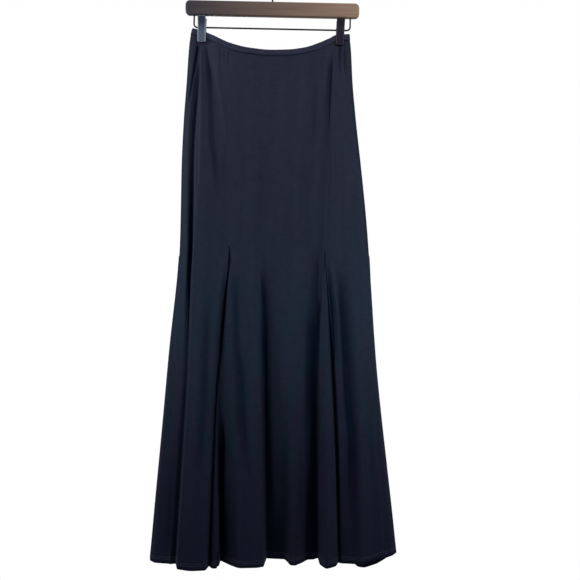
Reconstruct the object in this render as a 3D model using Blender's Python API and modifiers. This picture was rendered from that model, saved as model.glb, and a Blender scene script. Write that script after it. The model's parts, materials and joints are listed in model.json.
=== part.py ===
"""A long flared skirt of dark jersey, clipped by its waistband to a wooden skirt hanger.

The skirt is a tube of six gores with a godet let in at each of the six seams. Each gore, godet
and half of the waistband is a wall of its own, a hair apart from its neighbours at the seams.
The hanger is a bar with a hook, a wire under the bar and two sprung clips on the wire.

Sizes are in millimetres, +Z is up, +X is to the right of someone who looks at the front, and
the front faces -Y. The origin is the seat of the hook, the point that rests on a rail.
"""

from bisect import bisect_right
from math import cos, exp, pi, radians, sin, sqrt, tau
from typing import NamedTuple

import bmesh
import bpy
from mathutils import Matrix, Vector

MM = 0.001
PART_NAME = "flared skirt on a clip hanger"
CUTTERS_NAME = "cutters"

# ---------------------------------------------------------------- hanger sizes
HANGER_TILT = radians(1.2)  # the right end of the bar hangs lower
BAR_LENGTH = 356.0
BAR_HEIGHT = 30.0
BAR_THICKNESS = 12.0
BAR_TOP = -66.0
BAR_ROUNDING = 3.0

HOOK_WIRE = 3.6
HOOK_RADIUS = 21.8  # to the middle of the wire
HOOK_TIP_ANGLE = radians(205)  # where the open end of the crook stops
HOOK_START_ANGLE = radians(-35)  # where the crook takes over from the bend above the neck
HOOK_NECK = 9.0
HOOK_NECK_BEND = 11.0
HOOK_BEND_STEPS = 8
HOOK_CROOK_STEPS = 24
BORE_DEPTH = 12.0

RAIL_WIRE = 3.4  # the wire that carries the clips
RAIL_HALF_WIDTH = 160.0
RAIL_DROP = 24.5
RAIL_BEND = 7.0
RAIL_BEND_STEPS = 6

CLIP_WIDTH = 17.0
CLIP_SHEET = 1.2
CLIP_LEVER_HEIGHT = 22.5  # from the rail up to the end of the finger plate
CLIP_LEVER_SPREAD = 8.5
CLIP_JAW_DROP = 31.0  # from the rail down to the end of the jaw
CLIP_LIP = 0.9
CLIP_TOE = 3.0
SPRING_LENGTH = 9.0
SPRING_RADIUS = 3.5
SPRING_SIDES = 16


class Clip(NamedTuple):
    """A clip: its place along the bar and how far its foot swings to the left."""

    name: str
    x: float
    lean: float


CLIPS = (
    Clip("left", -143.7, radians(-0.4)),
    Clip("right", 140.0, radians(1.8)),
)

# ---------------------------------------------------------------- skirt sizes
WALL = 1.5
SEAM_GAP = 0.3
BAND_WALL = 3.0  # two layers of jersey over the elastic
BAND_HEIGHT = 13.0
BAND_PROUD = 0.6
BAND_END_TURN = (35, 70)  # degrees round its folded end at which the waistband has a column
CLIPPED_HALF = 0.4  # half the gap left between front and back inside the jaws
HELD_CLOTH = WALL + CLIPPED_HALF
HELD_BAND = BAND_WALL + CLIPPED_HALF
CLIP_PINCH_WIDTH = CLIP_WIDTH + 5.0
CLIP_PINCH_REACH = 12.0
CLIP_PINCH_FALL = 55.0

# Heights of the levels at which the lines of the cloth are placed
CLIP_LEVEL = -150.0
HIP_LEVEL = -390.0
GODET_LEVEL = -566.0
KNEE_LEVEL = -840.0
HEM_LEVEL = -1200.0
SIDE_GODET_LEVEL = -586.0

# Rows of the mesh, as shares of the way from the waist seam to the hem
ROWS = (0.0, 0.02, 0.055, 0.1, 0.16, 0.225, 0.29, 0.345, 0.384, 0.402,
        0.42, 0.45, 0.485, 0.53, 0.59, 0.66, 0.74, 0.82, 0.91, 1.0)
FRONT_APEX_ROW = 8  # a godet's own first row is the one under its apex
SIDE_APEX_ROW = 10
GORE_FOLD_VALUES = 3  # places given for a fold that starts inside a gore
SETTLING_ROUNDS = 4
SPAN_USED = 0.45  # the most of the cloth between two lines that one turn takes
TOP_SOFTNESS = 0.3  # turns are this much tighter at the waist than at the hem
EVENED_REACH = 2.4
EVENED_NEIGHBOURS = 5


class Section(NamedTuple):
    """The plain tube at one height, before its folds: its sides, and how deep it is."""

    z: float
    left: float
    right: float
    front: float
    back: float


SECTIONS = (
    #       z      left   right  front  back
    Section(-119, -166.0, 157.0, 12.0, 12.0),
    Section(-225, -176.5, 161.5, 18.0, 16.0),
    Section(-390, -186.0, 176.0, 26.0, 22.0),
    Section(-512, -189.0, 188.0, 30.0, 26.0),
    Section(-594, -192.5, 197.0, 32.0, 28.0),
    Section(-840, -218.0, 213.5, 40.0, 36.0),
    Section(-1040, -236.5, 235.0, 45.0, 41.0),
    Section(-1200, -251.0, 253.0, 48.0, 44.0),
)

# The upper edge of the waistband sags between the clips: (x, z)
WAIST_EDGE = ((-166, -119), (-146, -125), (-110, -138), (-77, -151), (0, -166.5),
              (60, -160), (119, -140), (140, -134.5), (157, -132))

# The hem: (percent of the width from the left side, z)
HEM_FRONT = ((0, -1208), (20, -1203), (45, -1199), (70, -1202), (85, -1203), (100, -1194))
HEM_BACK = ((0, -1208), (30, -1205), (70, -1207), (82, -1230), (92, -1236), (100, -1194))


class Line(NamedTuple):
    """A line that runs down the cloth: a seam, or the crown, edge or valley of a fold.

    across is its place as a percent of the width from the left side, and depth is how far it
    stands in front of the hanger's plane, less than zero behind it. Both are given at the
    last levels of clip, hip, top, knee and hem, as many as there are values. turn is the
    length of cloth on each side of the line that takes part in its turn at the hem.
    """

    across: tuple[float, ...]
    depth: tuple[float, ...]
    turn: float
    top: float = GODET_LEVEL


class Panel(NamedTuple):
    """A piece of cloth: the line of its first seam, then the lines of its folds."""

    name: str
    seam: Line
    folds: tuple[Line, ...]
    apex_row: int = 0


# The pieces in order round the skirt: along the front to the right, along the back to the left
PANELS = (
    Panel("side_front_left",
          Line((0, 0, 0, 4.5, 8.5), (0, 0, 20, 30), 8, SIDE_GODET_LEVEL),
          (Line((3.6, 2.7, 3.7, 7.4, 10.0), (10, 14, 22, 28), 4),
           Line((4.9, 4.0, 5.4, 9.1, 10.7), (1, 3, 8, 12), 4),
           Line((6.8, 6.4, 8.0, 11.1, 12.8), (20, 26, 46, 66), 6),
           Line((8.7, 12.4, 14.1, 16.1, 17.9), (24, 30, 52, 74), 14),
           Line((24.3, 23.0, 23.0), (46, 66), 6))),
    Panel("godet_front_left",
          Line((24.0, 27.2, 26.9, 24.6, 24.6), (24, 30, 18, 38), 4),
          (Line((25.9, 26.2), (22, 56), 4),
           Line((26.8, 28.3), (22, 54), 4),
           Line((27.6, 29.4), (16, 16), 5),
           Line((28.8, 31.2), (40, 46), 6)),
          FRONT_APEX_ROW),
    Panel("center_front",
          Line((24.0, 27.2, 26.9, 33.6, 36.7), (24, 30, 48, 60), 10),
          (Line((40.8, 44.0, 44.4), (54, 64), 12),
           Line((43.6, 46.9, 47.1), (47, 58), 5),
           Line((45.4, 48.2, 48.1), (24, 20), 6),
           Line((49.5, 51.5, 51.4), (36, 24), 12),
           Line((61.6, 61.5, 58.6), (52, 50), 16),
           Line((71.5, 65.2, 61.9), (46, 42), 6),
           Line((74.6, 66.9, 63.4), (14, 14), 6))),
    Panel("godet_front_right",
          Line((90.0, 81.9, 76.7, 69.3, 66.1), (24, 30, 14, 14), 6),
          (Line((71.0, 67.9), (46, 58), 5),
           Line((74.1, 70.6), (54, 70), 9),
           Line((77.7, 75.0), (44, 60), 5),
           Line((79.3, 76.6), (22, 32), 4)),
          FRONT_APEX_ROW),
    Panel("side_front_right",
          Line((90.0, 81.9, 76.7, 81.4, 78.0), (24, 30, 45, 46), 5),
          (Line((83.5, 85.0, 81.4), (31, 38), 10),
           Line((89.9, 89.3, 84.8), (40, 46), 12),
           Line((95.0, 94.0, 89.8), (24, 26), 10))),
    Panel("godet_side_right",
          Line((100, 100, 100, 97.0, 94.4), (0, 0, 17, 28), 8, SIDE_GODET_LEVEL),
          (Line((99.0, 98.0), (9, 15), 6),
           Line((100, 100), (0, 0), 6),
           Line((98.8, 97.4), (-11, -18), 6)),
          SIDE_APEX_ROW),
    Panel("side_back_right",
          Line((100, 100, 100, 96.0, 93.0), (0, 0, -20, -36), 10, SIDE_GODET_LEVEL),
          (Line((91, 90, 88), (-38, -56), 12),
           Line((85, 86, 84.5), (-24, -24), 8),
           Line((80, 82, 81.5), (-40, -58), 8))),
    Panel("godet_back_right",
          Line((80, 76, 75, 79, 79.2), (-20, -27, -24, -30), 6),
          (Line((76.6, 76.2), (-44, -66), 8),
           Line((74.2, 72.2), (-42, -60), 6),
           Line((72.2, 69.6), (-20, -20), 6)),
          FRONT_APEX_ROW),
    Panel("center_back",
          Line((80, 76, 75, 70.2, 67.0), (-20, -27, -38, -52), 8),
          (Line((66, 63, 61), (-46, -64), 14),
           Line((58, 57, 55), (-26, -24), 9),
           Line((50, 50, 48.5), (-44, -60), 14),
           Line((42, 44, 42.5), (-27, -26), 9),
           Line((34, 37, 36.5), (-44, -62), 10))),
    Panel("godet_back_left",
          Line((22, 25, 25.5, 31.8, 33.2), (-20, -27, -22, -22), 6),
          (Line((29.6, 30.8), (-42, -60), 6),
           Line((27.2, 27.0), (-44, -66), 8),
           Line((25.0, 24.2), (-20, -22), 6)),
          FRONT_APEX_ROW),
    Panel("side_back_left",
          Line((22, 25, 25.5, 22.8, 21.6), (-20, -27, -38, -54), 8),
          (Line((18, 17, 16.5), (-44, -64), 12),
           Line((11, 12, 12.2), (-25, -28), 9))),
    Panel("godet_side_left",
          Line((0, 0, 0, 4.5, 8.0), (0, 0, -22, -44), 10, SIDE_GODET_LEVEL),
          (Line((1.2, 2.6), (-12, -22), 7),
           Line((0, 0), (0, 0), 6),
           Line((1.0, 2.3), (10, 17), 6)),
          SIDE_APEX_ROW),
)

# ---------------------------------------------------------------- colours (linear) and finishes
JERSEY = ("navy jersey", (0.012, 0.015, 0.026), 0.85, 0.0)
ESPRESSO_WOOD = ("espresso wood", (0.115, 0.082, 0.070), 0.45, 0.0)
STEEL = ("bright steel", (0.55, 0.56, 0.58), 0.3, 1.0)
DARK_STEEL = ("dark steel", (0.07, 0.08, 0.10), 0.35, 1.0)


# ---------------------------------------------------------------- reading the tables
def smooth_between(knots, x):
    """Value at x of the smooth curve through knots of (x, value), which never overshoots them."""
    knots = sorted(knots)
    if x <= knots[0][0]:
        return knots[0][1]
    if x >= knots[-1][0]:
        return knots[-1][1]
    widths = [b[0] - a[0] for a, b in zip(knots, knots[1:])]
    slopes = [(b[1] - a[1]) / w for a, b, w in zip(knots, knots[1:], widths)]
    tangents = [slopes[0]]
    for before, after in zip(slopes, slopes[1:]):
        tangents.append(2 * before * after / (before + after) if before * after > 0 else 0.0)
    tangents.append(slopes[-1])
    i = bisect_right([k[0] for k in knots], x) - 1
    t = (x - knots[i][0]) / widths[i]
    rise = t * t * (3 - 2 * t)
    return (knots[i][1] * (1 - rise) + knots[i + 1][1] * rise
            + widths[i] * tangents[i] * t * (1 - t) ** 2
            - widths[i] * tangents[i + 1] * t * t * (1 - t))


def section_value(z, field):
    """One measure of the plain tube at a height."""
    return smooth_between([(s.z, getattr(s, field)) for s in SECTIONS], z)


def side_to_side(z, share):
    """X of a share of the width at a height."""
    left, right = section_value(z, "left"), section_value(z, "right")
    return left + share * (right - left)


def plain_depth(z, share, facing):
    """How far the plain tube stands in front of the hanger's plane (facing 1) or behind it."""
    middle = section_value(z, "front" if facing > 0 else "back")
    return facing * middle * (1 - abs(2 * share - 1) ** 3)


def levels_of(line, count):
    """The heights that the last few values of a line belong to."""
    return (CLIP_LEVEL, HIP_LEVEL, line.top, KNEE_LEVEL, HEM_LEVEL)[-count:]


def facing_of(line):
    """1 for a line of the front, -1 for one of the back, 0 for the very side."""
    last = line.depth[-1]
    return (last > 0) - (last < 0)


def place_knots(line, seam):
    """The heights and shares of the width that a line passes; a godet's folds start at its tip."""
    knots = list(zip(levels_of(line, len(line.across)), line.across))
    if len(knots) < GORE_FOLD_VALUES:
        knots.insert(0, (seam.top, seam.across[-3]))
    return [(z, percent / 100) for z, percent in knots]


def share_at(line, z, seam, next_seam):
    """Share of the width at which a line lies at a height.

    Above the level where a fold of a gore starts, it keeps its place between the gore's seams.
    """
    knots = place_knots(line, seam)
    start, start_share = knots[0]
    if z <= start or len(line.across) != GORE_FOLD_VALUES:
        return smooth_between(knots, z)
    here, next_here = (smooth_between(place_knots(s, s), z) for s in (seam, next_seam))
    there, next_there = (smooth_between(place_knots(s, s), start) for s in (seam, next_seam))
    return here + (next_here - here) * (start_share - there) / (next_there - there)


def depth_at(line, z, share, seam):
    """Distance of a line in front of the hanger's plane at a height."""
    facing = facing_of(line)
    knots = place_knots(line, seam)
    stand = [(knots[0][0], 0.0)]  # a fold stands out by nothing where it starts
    for level, depth in zip(levels_of(line, len(line.depth)), line.depth):
        plain = plain_depth(level, smooth_between(knots, level), facing)
        stand.append((level, depth - plain))
    return plain_depth(z, share, facing) + smooth_between(stand, z)


# ---------------------------------------------------------------- the cloth
def rail_height():
    """Height of the wire that carries the clips, before the hanger tilts."""
    return BAR_TOP - BAR_HEIGHT - RAIL_DROP


def clip_foot(clip):
    """The lower end of a clip's jaws."""
    rail = Matrix.Rotation(HANGER_TILT, 4, "Y") @ Vector((clip.x, 0, rail_height()))
    swing = Matrix.Rotation(HANGER_TILT + clip.lean, 4, "Y")
    return rail + swing @ Vector((0, 0, -CLIP_JAW_DROP))


def pinched(point, held):
    """Press a point of the cloth between the jaws of the clips, to a least distance held."""
    if abs(point.y) <= held:
        return point
    firmness = 0.0
    for clip in CLIPS:
        foot = clip_foot(clip)
        beside = max(0.0, abs(point.x - foot.x) - CLIP_PINCH_WIDTH / 2)
        along = exp(-(beside / CLIP_PINCH_REACH) ** 2)
        down = exp(min(0.0, point.z - foot.z) / CLIP_PINCH_FALL)
        firmness = max(firmness, along * down)
    flat = held if point.y > 0 else -held
    return Vector((point.x, point.y + firmness * (flat - point.y), point.z))


def waist_seam(x):
    """Height of the seam under the waistband."""
    return smooth_between(WAIST_EDGE, x) - BAND_HEIGHT


def line_point(line, row_share, seam, next_seam):
    """The point of a line on one row of the mesh.

    The waist and the hem are not level, so the height and the place settle together.
    """
    z = HIP_LEVEL
    for _ in range(SETTLING_ROUNDS):
        share = share_at(line, z, seam, next_seam)
        top = waist_seam(side_to_side(CLIP_LEVEL, share)) - SEAM_GAP
        hem = smooth_between(HEM_BACK if facing_of(line) < 0 else HEM_FRONT, share * 100)
        z = top + row_share * (hem - top)
    share = share_at(line, z, seam, next_seam)
    return Vector((side_to_side(z, share), -depth_at(line, z, share, seam), z))


def clear_at_side(point):
    """Keep room for the walls beside the very side, where the tube is nearly flat."""
    room = min(point.x - section_value(point.z, "left"), section_value(point.z, "right") - point.x)
    room = max(0.0, min(HELD_CLOTH, room))
    least = sqrt(HELD_CLOTH ** 2 - (HELD_CLOTH - room) ** 2)
    if abs(point.y) >= least:
        return point
    return Vector((point.x, least if point.y > 0 else -least, point.z))


class Spot(NamedTuple):
    """A point of the ring that a row of the mesh makes, and the piece that it belongs to."""

    panel: str
    point: Vector


def ring(row_number):
    """The points of one row, in order round the skirt."""
    present = [p for p in PANELS if row_number > p.apex_row or p.apex_row == 0]
    corners = []
    for panel, following in zip(present, present[1:] + present[:1]):
        for line in (panel.seam,) + panel.folds:
            corner = line_point(line, ROWS[row_number], panel.seam, following.seam)
            corners.append((panel.name, line, corner, line is panel.seam))
    spots = []
    softness = TOP_SOFTNESS + (1 - TOP_SOFTNESS) * ROWS[row_number]
    for i, (name, line, corner, is_seam) in enumerate(corners):
        before, after = corners[i - 1], corners[(i + 1) % len(corners)]
        back, ahead = before[2] - corner, after[2] - corner
        start = corner + back.normalized() * min(line.turn * softness, SPAN_USED * back.length)
        end = corner + ahead.normalized() * min(line.turn * softness, SPAN_USED * ahead.length)
        on_side = abs(corner.y) < SEAM_GAP and (line.top == SIDE_GODET_LEVEL or not any(line.depth))
        middle = corner if on_side else (start + end) / 2
        start, end = clear_at_side(start), clear_at_side(end)
        if is_seam:
            step = (end - start).normalized() * (SEAM_GAP / 2)
            spots += [Spot(before[0], start), Spot(before[0], middle - step),
                      Spot(name, middle + step), Spot(name, end)]
        elif any(line.depth):
            spots += [Spot(name, start), Spot(name, end)]
        else:
            spots += [Spot(name, start), Spot(name, middle), Spot(name, end)]
    spots = spots[2:] + spots[:2]  # so that every piece's points stay together
    if row_number == 0:
        for spot in spots:
            spot.point.z = waist_seam(spot.point.x) - SEAM_GAP
    return [Spot(s.panel, pinched(s.point, HELD_CLOTH)) for s in spots]


def columns_of(spots):
    """The points of each piece on one row, in order."""
    columns = {}
    for spot in spots:
        columns.setdefault(spot.panel, []).append(spot.point)
    return columns


def outward(rows, row_number):
    """Outward directions at the points of one row, evened out where the points lie close."""
    spots = rows[row_number]
    above = columns_of(rows[max(row_number - 1, 0)])
    below = columns_of(rows[min(row_number + 1, len(rows) - 1)])
    here = columns_of(spots)
    down = []
    for name, points in here.items():
        upper, lower = above.get(name, points), below.get(name, points)
        down += [b - a for a, b in zip(upper, lower)]
    points = [s.point for s in spots]
    count = len(points)
    plain = [down[i].cross(points[(i + 1) % count] - points[i - 1]).normalized()
             for i in range(count)]
    evened = []
    for i in range(count):
        if abs(points[i].y) < SEAM_GAP:  # on the very side, where the front meets the back
            evened.append(Vector((1 if points[i].x > 0 else -1, 0, 0)))
            continue
        total = Vector((0, 0, 0))
        for k in range(i - EVENED_NEIGHBOURS, i + EVENED_NEIGHBOURS + 1):
            apart = (points[k % count] - points[i]).length
            total += plain[k % count] * exp(-(apart / EVENED_REACH) ** 2)
        evened.append(total.normalized())
    return evened


def cloth_rows():
    """Outer and inner points of every piece: name -> list of rows of (outer, inner)."""
    rows = [ring(i) for i in range(len(ROWS))]
    sheets = {panel.name: [] for panel in PANELS}
    for i, spots in enumerate(rows):
        pairs = {}
        for spot, away in zip(spots, outward(rows, i)):
            pairs.setdefault(spot.panel, []).append((spot.point, spot.point - away * WALL))
        for name, columns in pairs.items():
            sheets[name].append(columns)
    return sheets


def band_rows(facing):
    """Outer and inner points of half the waistband, facing 1 for the front, -1 for the back.

    Between its rounded ends it has the same columns as the cloth under it, so that the seam
    stays open by the same gap all along.
    """
    left, right = section_value(CLIP_LEVEL, "left"), section_value(CLIP_LEVEL, "right")
    columns = []  # of (x, y of the outer face, how far the wall leans sideways)
    end_turn = [(SEAM_GAP / 2 / HELD_BAND, 1.0)]
    end_turn += [(radians(a), cos(radians(a))) for a in BAND_END_TURN]
    for angle, sideways in end_turn:
        columns.append((left + HELD_BAND * (1 - cos(angle)), HELD_BAND * sin(angle), sideways))
    for x in sorted(spot.point.x for spot in ring(0) if spot.point.y * facing < 0):
        if left + HELD_BAND < x < right - HELD_BAND:
            depth = plain_depth(CLIP_LEVEL, (x - left) / (right - left), 1) + BAND_PROUD
            columns.append((x, max(depth, HELD_BAND), 0.0))
    for angle, sideways in reversed(end_turn):
        columns.append((right - HELD_BAND * (1 - cos(angle)), HELD_BAND * sin(angle), -sideways))
    rows = []
    for drop in (0.0, BAND_HEIGHT):
        row = []
        for x, y, sideways in columns:
            outer = pinched(Vector((x, -facing * y, smooth_between(WAIST_EDGE, x) - drop)), HELD_BAND)
            inward = facing * sqrt(1 - sideways ** 2)
            row.append((outer, outer + Vector((sideways, inward, 0)) * BAND_WALL))
        rows.append(row)
    return rows


# ---------------------------------------------------------------- making objects
def material(finish):
    """A Principled material from a finish of (name, colour, roughness, metallic)."""
    name, color, roughness, metallic = finish
    if name in bpy.data.materials:
        return bpy.data.materials[name]
    made = bpy.data.materials.new(name)
    made.use_nodes = True
    shader = made.node_tree.nodes["Principled BSDF"]
    shader.inputs["Base Color"].default_value = (*color, 1.0)
    shader.inputs["Roughness"].default_value = roughness
    shader.inputs["Metallic"].default_value = metallic
    made.diffuse_color = (*color, 1.0)
    return made


def place(thing, finish, parent=None):
    """Put an object in the part's collection with its material and its parent."""
    thing.data.materials.append(material(finish))
    thing.parent = parent
    bpy.data.collections[PART_NAME].objects.link(thing)
    return thing


def cloth_wall(name, rows):
    """A closed wall between the outer and inner points of a sheet."""
    mesh = bmesh.new()
    outer = [[mesh.verts.new(pair[0] * MM) for pair in row] for row in rows]
    inner = [[mesh.verts.new(pair[1] * MM) for pair in row] for row in rows]
    last_row, last_column = len(rows) - 1, len(rows[0]) - 1
    for r in range(last_row):
        for c in range(last_column):
            mesh.faces.new((outer[r][c], outer[r + 1][c], outer[r + 1][c + 1], outer[r][c + 1]))
            mesh.faces.new((inner[r][c], inner[r][c + 1], inner[r + 1][c + 1], inner[r + 1][c]))
        # The edges of two neighbours are cut along the same diagonal, so that they stay apart
        mesh.faces.new((outer[r][0], inner[r][0], inner[r + 1][0]))
        mesh.faces.new((outer[r][0], inner[r + 1][0], outer[r + 1][0]))
        mesh.faces.new((outer[r][-1], outer[r + 1][-1], inner[r + 1][-1]))
        mesh.faces.new((outer[r][-1], inner[r + 1][-1], inner[r][-1]))
    for c in range(last_column):
        mesh.faces.new((outer[0][c], outer[0][c + 1], inner[0][c + 1], inner[0][c]))
        mesh.faces.new((outer[-1][c], inner[-1][c], inner[-1][c + 1], outer[-1][c + 1]))
    data = bpy.data.meshes.new(name)
    mesh.to_mesh(data)
    mesh.free()
    data.shade_smooth()
    return place(bpy.data.objects.new(name, data), JERSEY)


def wire(name, points, diameter, finish, parent):
    """A bent wire through points, with closed ends."""
    curve = bpy.data.curves.new(name, "CURVE")
    curve.dimensions = "3D"
    curve.bevel_depth = diameter / 2 * MM
    curve.bevel_resolution = 2
    curve.use_fill_caps = True
    spline = curve.splines.new("POLY")
    spline.points.add(len(points) - 1)
    for knot, point in zip(spline.points, points):
        knot.co = (*(Vector(point) * MM), 1.0)
    return place(bpy.data.objects.new(name, curve), finish, parent)


def cutter(name, location, radius, depth, sides=16):
    """A round cutter for a bore, in the collection of cutters."""
    bpy.ops.mesh.primitive_cylinder_add(vertices=sides, radius=radius * MM, depth=depth * MM,
                                        location=Vector(location) * MM)
    tool = bpy.context.object
    tool.name = name
    for collection in tuple(tool.users_collection):
        collection.objects.unlink(tool)
    bpy.data.collections[CUTTERS_NAME].objects.link(tool)
    tool.hide_render = True
    tool.display_type = "WIRE"
    return tool


# ---------------------------------------------------------------- the hanger
def make_bar(hanger):
    """The wooden bar, bored for the hook and for both ends of the clips' wire."""
    bpy.ops.mesh.primitive_cube_add(size=1.0)
    bar = bpy.context.object
    bar.name = "hanger_bar"
    bar.data.name = "hanger_bar"
    bar.data.transform(Matrix.Diagonal((BAR_LENGTH * MM, BAR_THICKNESS * MM, BAR_HEIGHT * MM, 1)))
    bar.location = Vector((0, 0, BAR_TOP - BAR_HEIGHT / 2)) * MM
    for collection in tuple(bar.users_collection):
        collection.objects.unlink(bar)
    place(bar, ESPRESSO_WOOD, hanger)
    rounding = bar.modifiers.new("rounded edges", "BEVEL")
    rounding.width = BAR_ROUNDING * MM
    rounding.segments = 3
    bores = [("hook_bore", 0.0, BAR_TOP, HOOK_WIRE / 2)]
    bores += [("wire_bore", side * RAIL_HALF_WIDTH, BAR_TOP - BAR_HEIGHT, RAIL_WIRE / 2)
              for side in (-1, 1)]
    for name, x, z, radius in bores:
        tool = cutter(name, (x, 0, z), radius + SEAM_GAP, 2 * BORE_DEPTH)
        tool.parent = hanger
        cut = bar.modifiers.new(name, "BOOLEAN")
        cut.operation = "DIFFERENCE"
        cut.object = tool
    return bar


def make_hook(hanger):
    """The hook: a straight neck, a bend to the right, and a round crook open to the left."""
    center_z = HOOK_WIRE / 2 - HOOK_RADIUS
    foot = BAR_TOP - BORE_DEPTH + SEAM_GAP
    neck = Vector((0, 0, BAR_TOP + HOOK_NECK))
    joint = Vector((HOOK_RADIUS * cos(HOOK_START_ANGLE), 0,
                    center_z + HOOK_RADIUS * sin(HOOK_START_ANGLE)))
    heading = Vector((-sin(HOOK_START_ANGLE), 0, cos(HOOK_START_ANGLE)))
    neck_pull = neck + Vector((0, 0, HOOK_NECK_BEND))
    joint_pull = joint - heading * HOOK_NECK_BEND
    points = [Vector((0, 0, foot))]
    for i in range(HOOK_BEND_STEPS):
        t = i / HOOK_BEND_STEPS
        points.append(neck * (1 - t) ** 3 + neck_pull * 3 * t * (1 - t) ** 2
                      + joint_pull * 3 * t * t * (1 - t) + joint * t ** 3)
    for i in range(HOOK_CROOK_STEPS + 1):
        angle = HOOK_START_ANGLE + (HOOK_TIP_ANGLE - HOOK_START_ANGLE) * i / HOOK_CROOK_STEPS
        points.append(Vector((HOOK_RADIUS * cos(angle), 0, center_z + HOOK_RADIUS * sin(angle))))
    return wire("hanger_hook", points, HOOK_WIRE, STEEL, hanger)


def make_rail(hanger):
    """The wire under the bar that carries the clips, with its ends in the bar."""
    low, high = rail_height(), BAR_TOP - BAR_HEIGHT + BORE_DEPTH - SEAM_GAP
    points = []
    for side in (-1, 1):
        half = [Vector((side * RAIL_HALF_WIDTH, 0, high))]
        for i in range(RAIL_BEND_STEPS + 1):
            angle = pi / 2 * i / RAIL_BEND_STEPS
            half.append(Vector((side * (RAIL_HALF_WIDTH - RAIL_BEND * (1 - cos(angle))), 0,
                                low + RAIL_BEND * (1 - sin(angle)))))
        points += half if side < 0 else reversed(half)
    return wire("clip_rail", points, RAIL_WIRE, STEEL, hanger)


def plate_outline(facing):
    """The bent sheet of a clip in section, as (y, z) round its edge, facing the front or back."""
    inner = -facing * (HELD_BAND + SEAM_GAP)
    middle = -facing * (SPRING_RADIUS + SEAM_GAP)
    spread = -facing * CLIP_LEVER_SPREAD
    sheet = -facing * CLIP_SHEET
    lip = -facing * CLIP_LIP
    path = ((spread, CLIP_LEVER_HEIGHT), (middle, SPRING_RADIUS), (middle, -SPRING_RADIUS),
            (inner, -2 * SPRING_RADIUS), (inner, CLIP_TOE - CLIP_JAW_DROP), (inner + lip, -CLIP_JAW_DROP))
    return list(path) + [(y + sheet, z) for y, z in reversed(path)]


def make_clip(clip, hanger):
    """A clip: two sprung plates on the rail that hold the waistband between them."""
    mount = bpy.data.objects.new(f"clip_{clip.name}_place", None)
    mount.location = Vector((clip.x, 0, rail_height())) * MM
    mount.rotation_euler = (0, clip.lean, 0)
    mount.parent = hanger
    bpy.data.collections[PART_NAME].objects.link(mount)
    for facing, face in ((1, "front"), (-1, "back")):
        name = f"clip_{clip.name}_{face}"
        outline = bpy.data.curves.new(name, "CURVE")
        outline.dimensions = "2D"
        outline.fill_mode = "BOTH"
        outline.extrude = CLIP_WIDTH / 2 * MM
        spline = outline.splines.new("POLY")
        corners = plate_outline(facing)
        spline.points.add(len(corners) - 1)
        for knot, (y, z) in zip(spline.points, corners):
            knot.co = (y * MM, z * MM, 0, 1)
        spline.use_cyclic_u = True
        plate = place(bpy.data.objects.new(name, outline), DARK_STEEL, mount)
        plate.matrix_local = Matrix(((0, 0, 1, 0), (1, 0, 0, 0), (0, 1, 0, 0), (0, 0, 0, 1)))
    bore = RAIL_WIRE / 2 + SEAM_GAP
    profile = bpy.data.meshes.new(f"clip_{clip.name}_spring")
    edge = ((SPRING_RADIUS, -SPRING_LENGTH / 2), (SPRING_RADIUS, SPRING_LENGTH / 2),
            (bore, SPRING_LENGTH / 2), (bore, -SPRING_LENGTH / 2))
    profile.from_pydata([Vector((r, 0, z)) * MM for r, z in reversed(edge)],
                        [(0, 1), (1, 2), (2, 3), (3, 0)], [])
    spring = place(bpy.data.objects.new(profile.name, profile), DARK_STEEL, mount)
    turn = spring.modifiers.new("turned", "SCREW")
    turn.axis = "Z"
    turn.angle = tau
    turn.steps = SPRING_SIDES
    turn.render_steps = SPRING_SIDES
    turn.use_merge_vertices = True
    turn.merge_threshold = 0.00001
    spring.rotation_euler = (0, pi / 2, 0)


def make_hanger():
    """The whole hanger, hung from the seat of its hook and tilted with its load."""
    hanger = bpy.data.objects.new("hanger_place", None)
    hanger.rotation_euler = (0, HANGER_TILT, 0)
    bpy.data.collections[PART_NAME].objects.link(hanger)
    make_bar(hanger)
    make_hook(hanger)
    make_rail(hanger)
    for clip in CLIPS:
        make_clip(clip, hanger)


def make_skirt():
    """The gores, the godets and both halves of the waistband."""
    for name, rows in cloth_rows().items():
        cloth_wall(name, rows)
    cloth_wall("waistband_front", band_rows(1))
    cloth_wall("waistband_back", [row[::-1] for row in band_rows(-1)])


def main():
    """Clear the scene and make the part."""
    for thing in list(bpy.data.objects):
        bpy.data.objects.remove(thing)
    for name in (PART_NAME, CUTTERS_NAME):
        bpy.context.scene.collection.children.link(bpy.data.collections.new(name))
    make_hanger()
    make_skirt()


main()
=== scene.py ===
"""A long flared skirt of navy jersey on a wooden clip hanger, in a plain studio.

The skirt is a tube of six gores with a godet let in at each seam, under a narrow waistband.
Its form comes from the tables that its solids are made from, a little refined: the plain
tube, and the seams and folds that run down it. On that form lie the finer creases, the sunk
seams, the turned-up hem with its rows of stitches, and the slight unevenness of hanging cloth.

Sizes are in millimetres unless a comment says otherwise, +Z is up, and the front faces -Y.
"""

import json
import logging
from dataclasses import dataclass, field
from enum import Enum
from math import ceil, cos, pi, radians, sin, tau
from typing import Any, Iterable, NamedTuple, Sequence, Union

import bmesh
import bpy
import numpy as np
from mathutils import Matrix, Vector, noise

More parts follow.
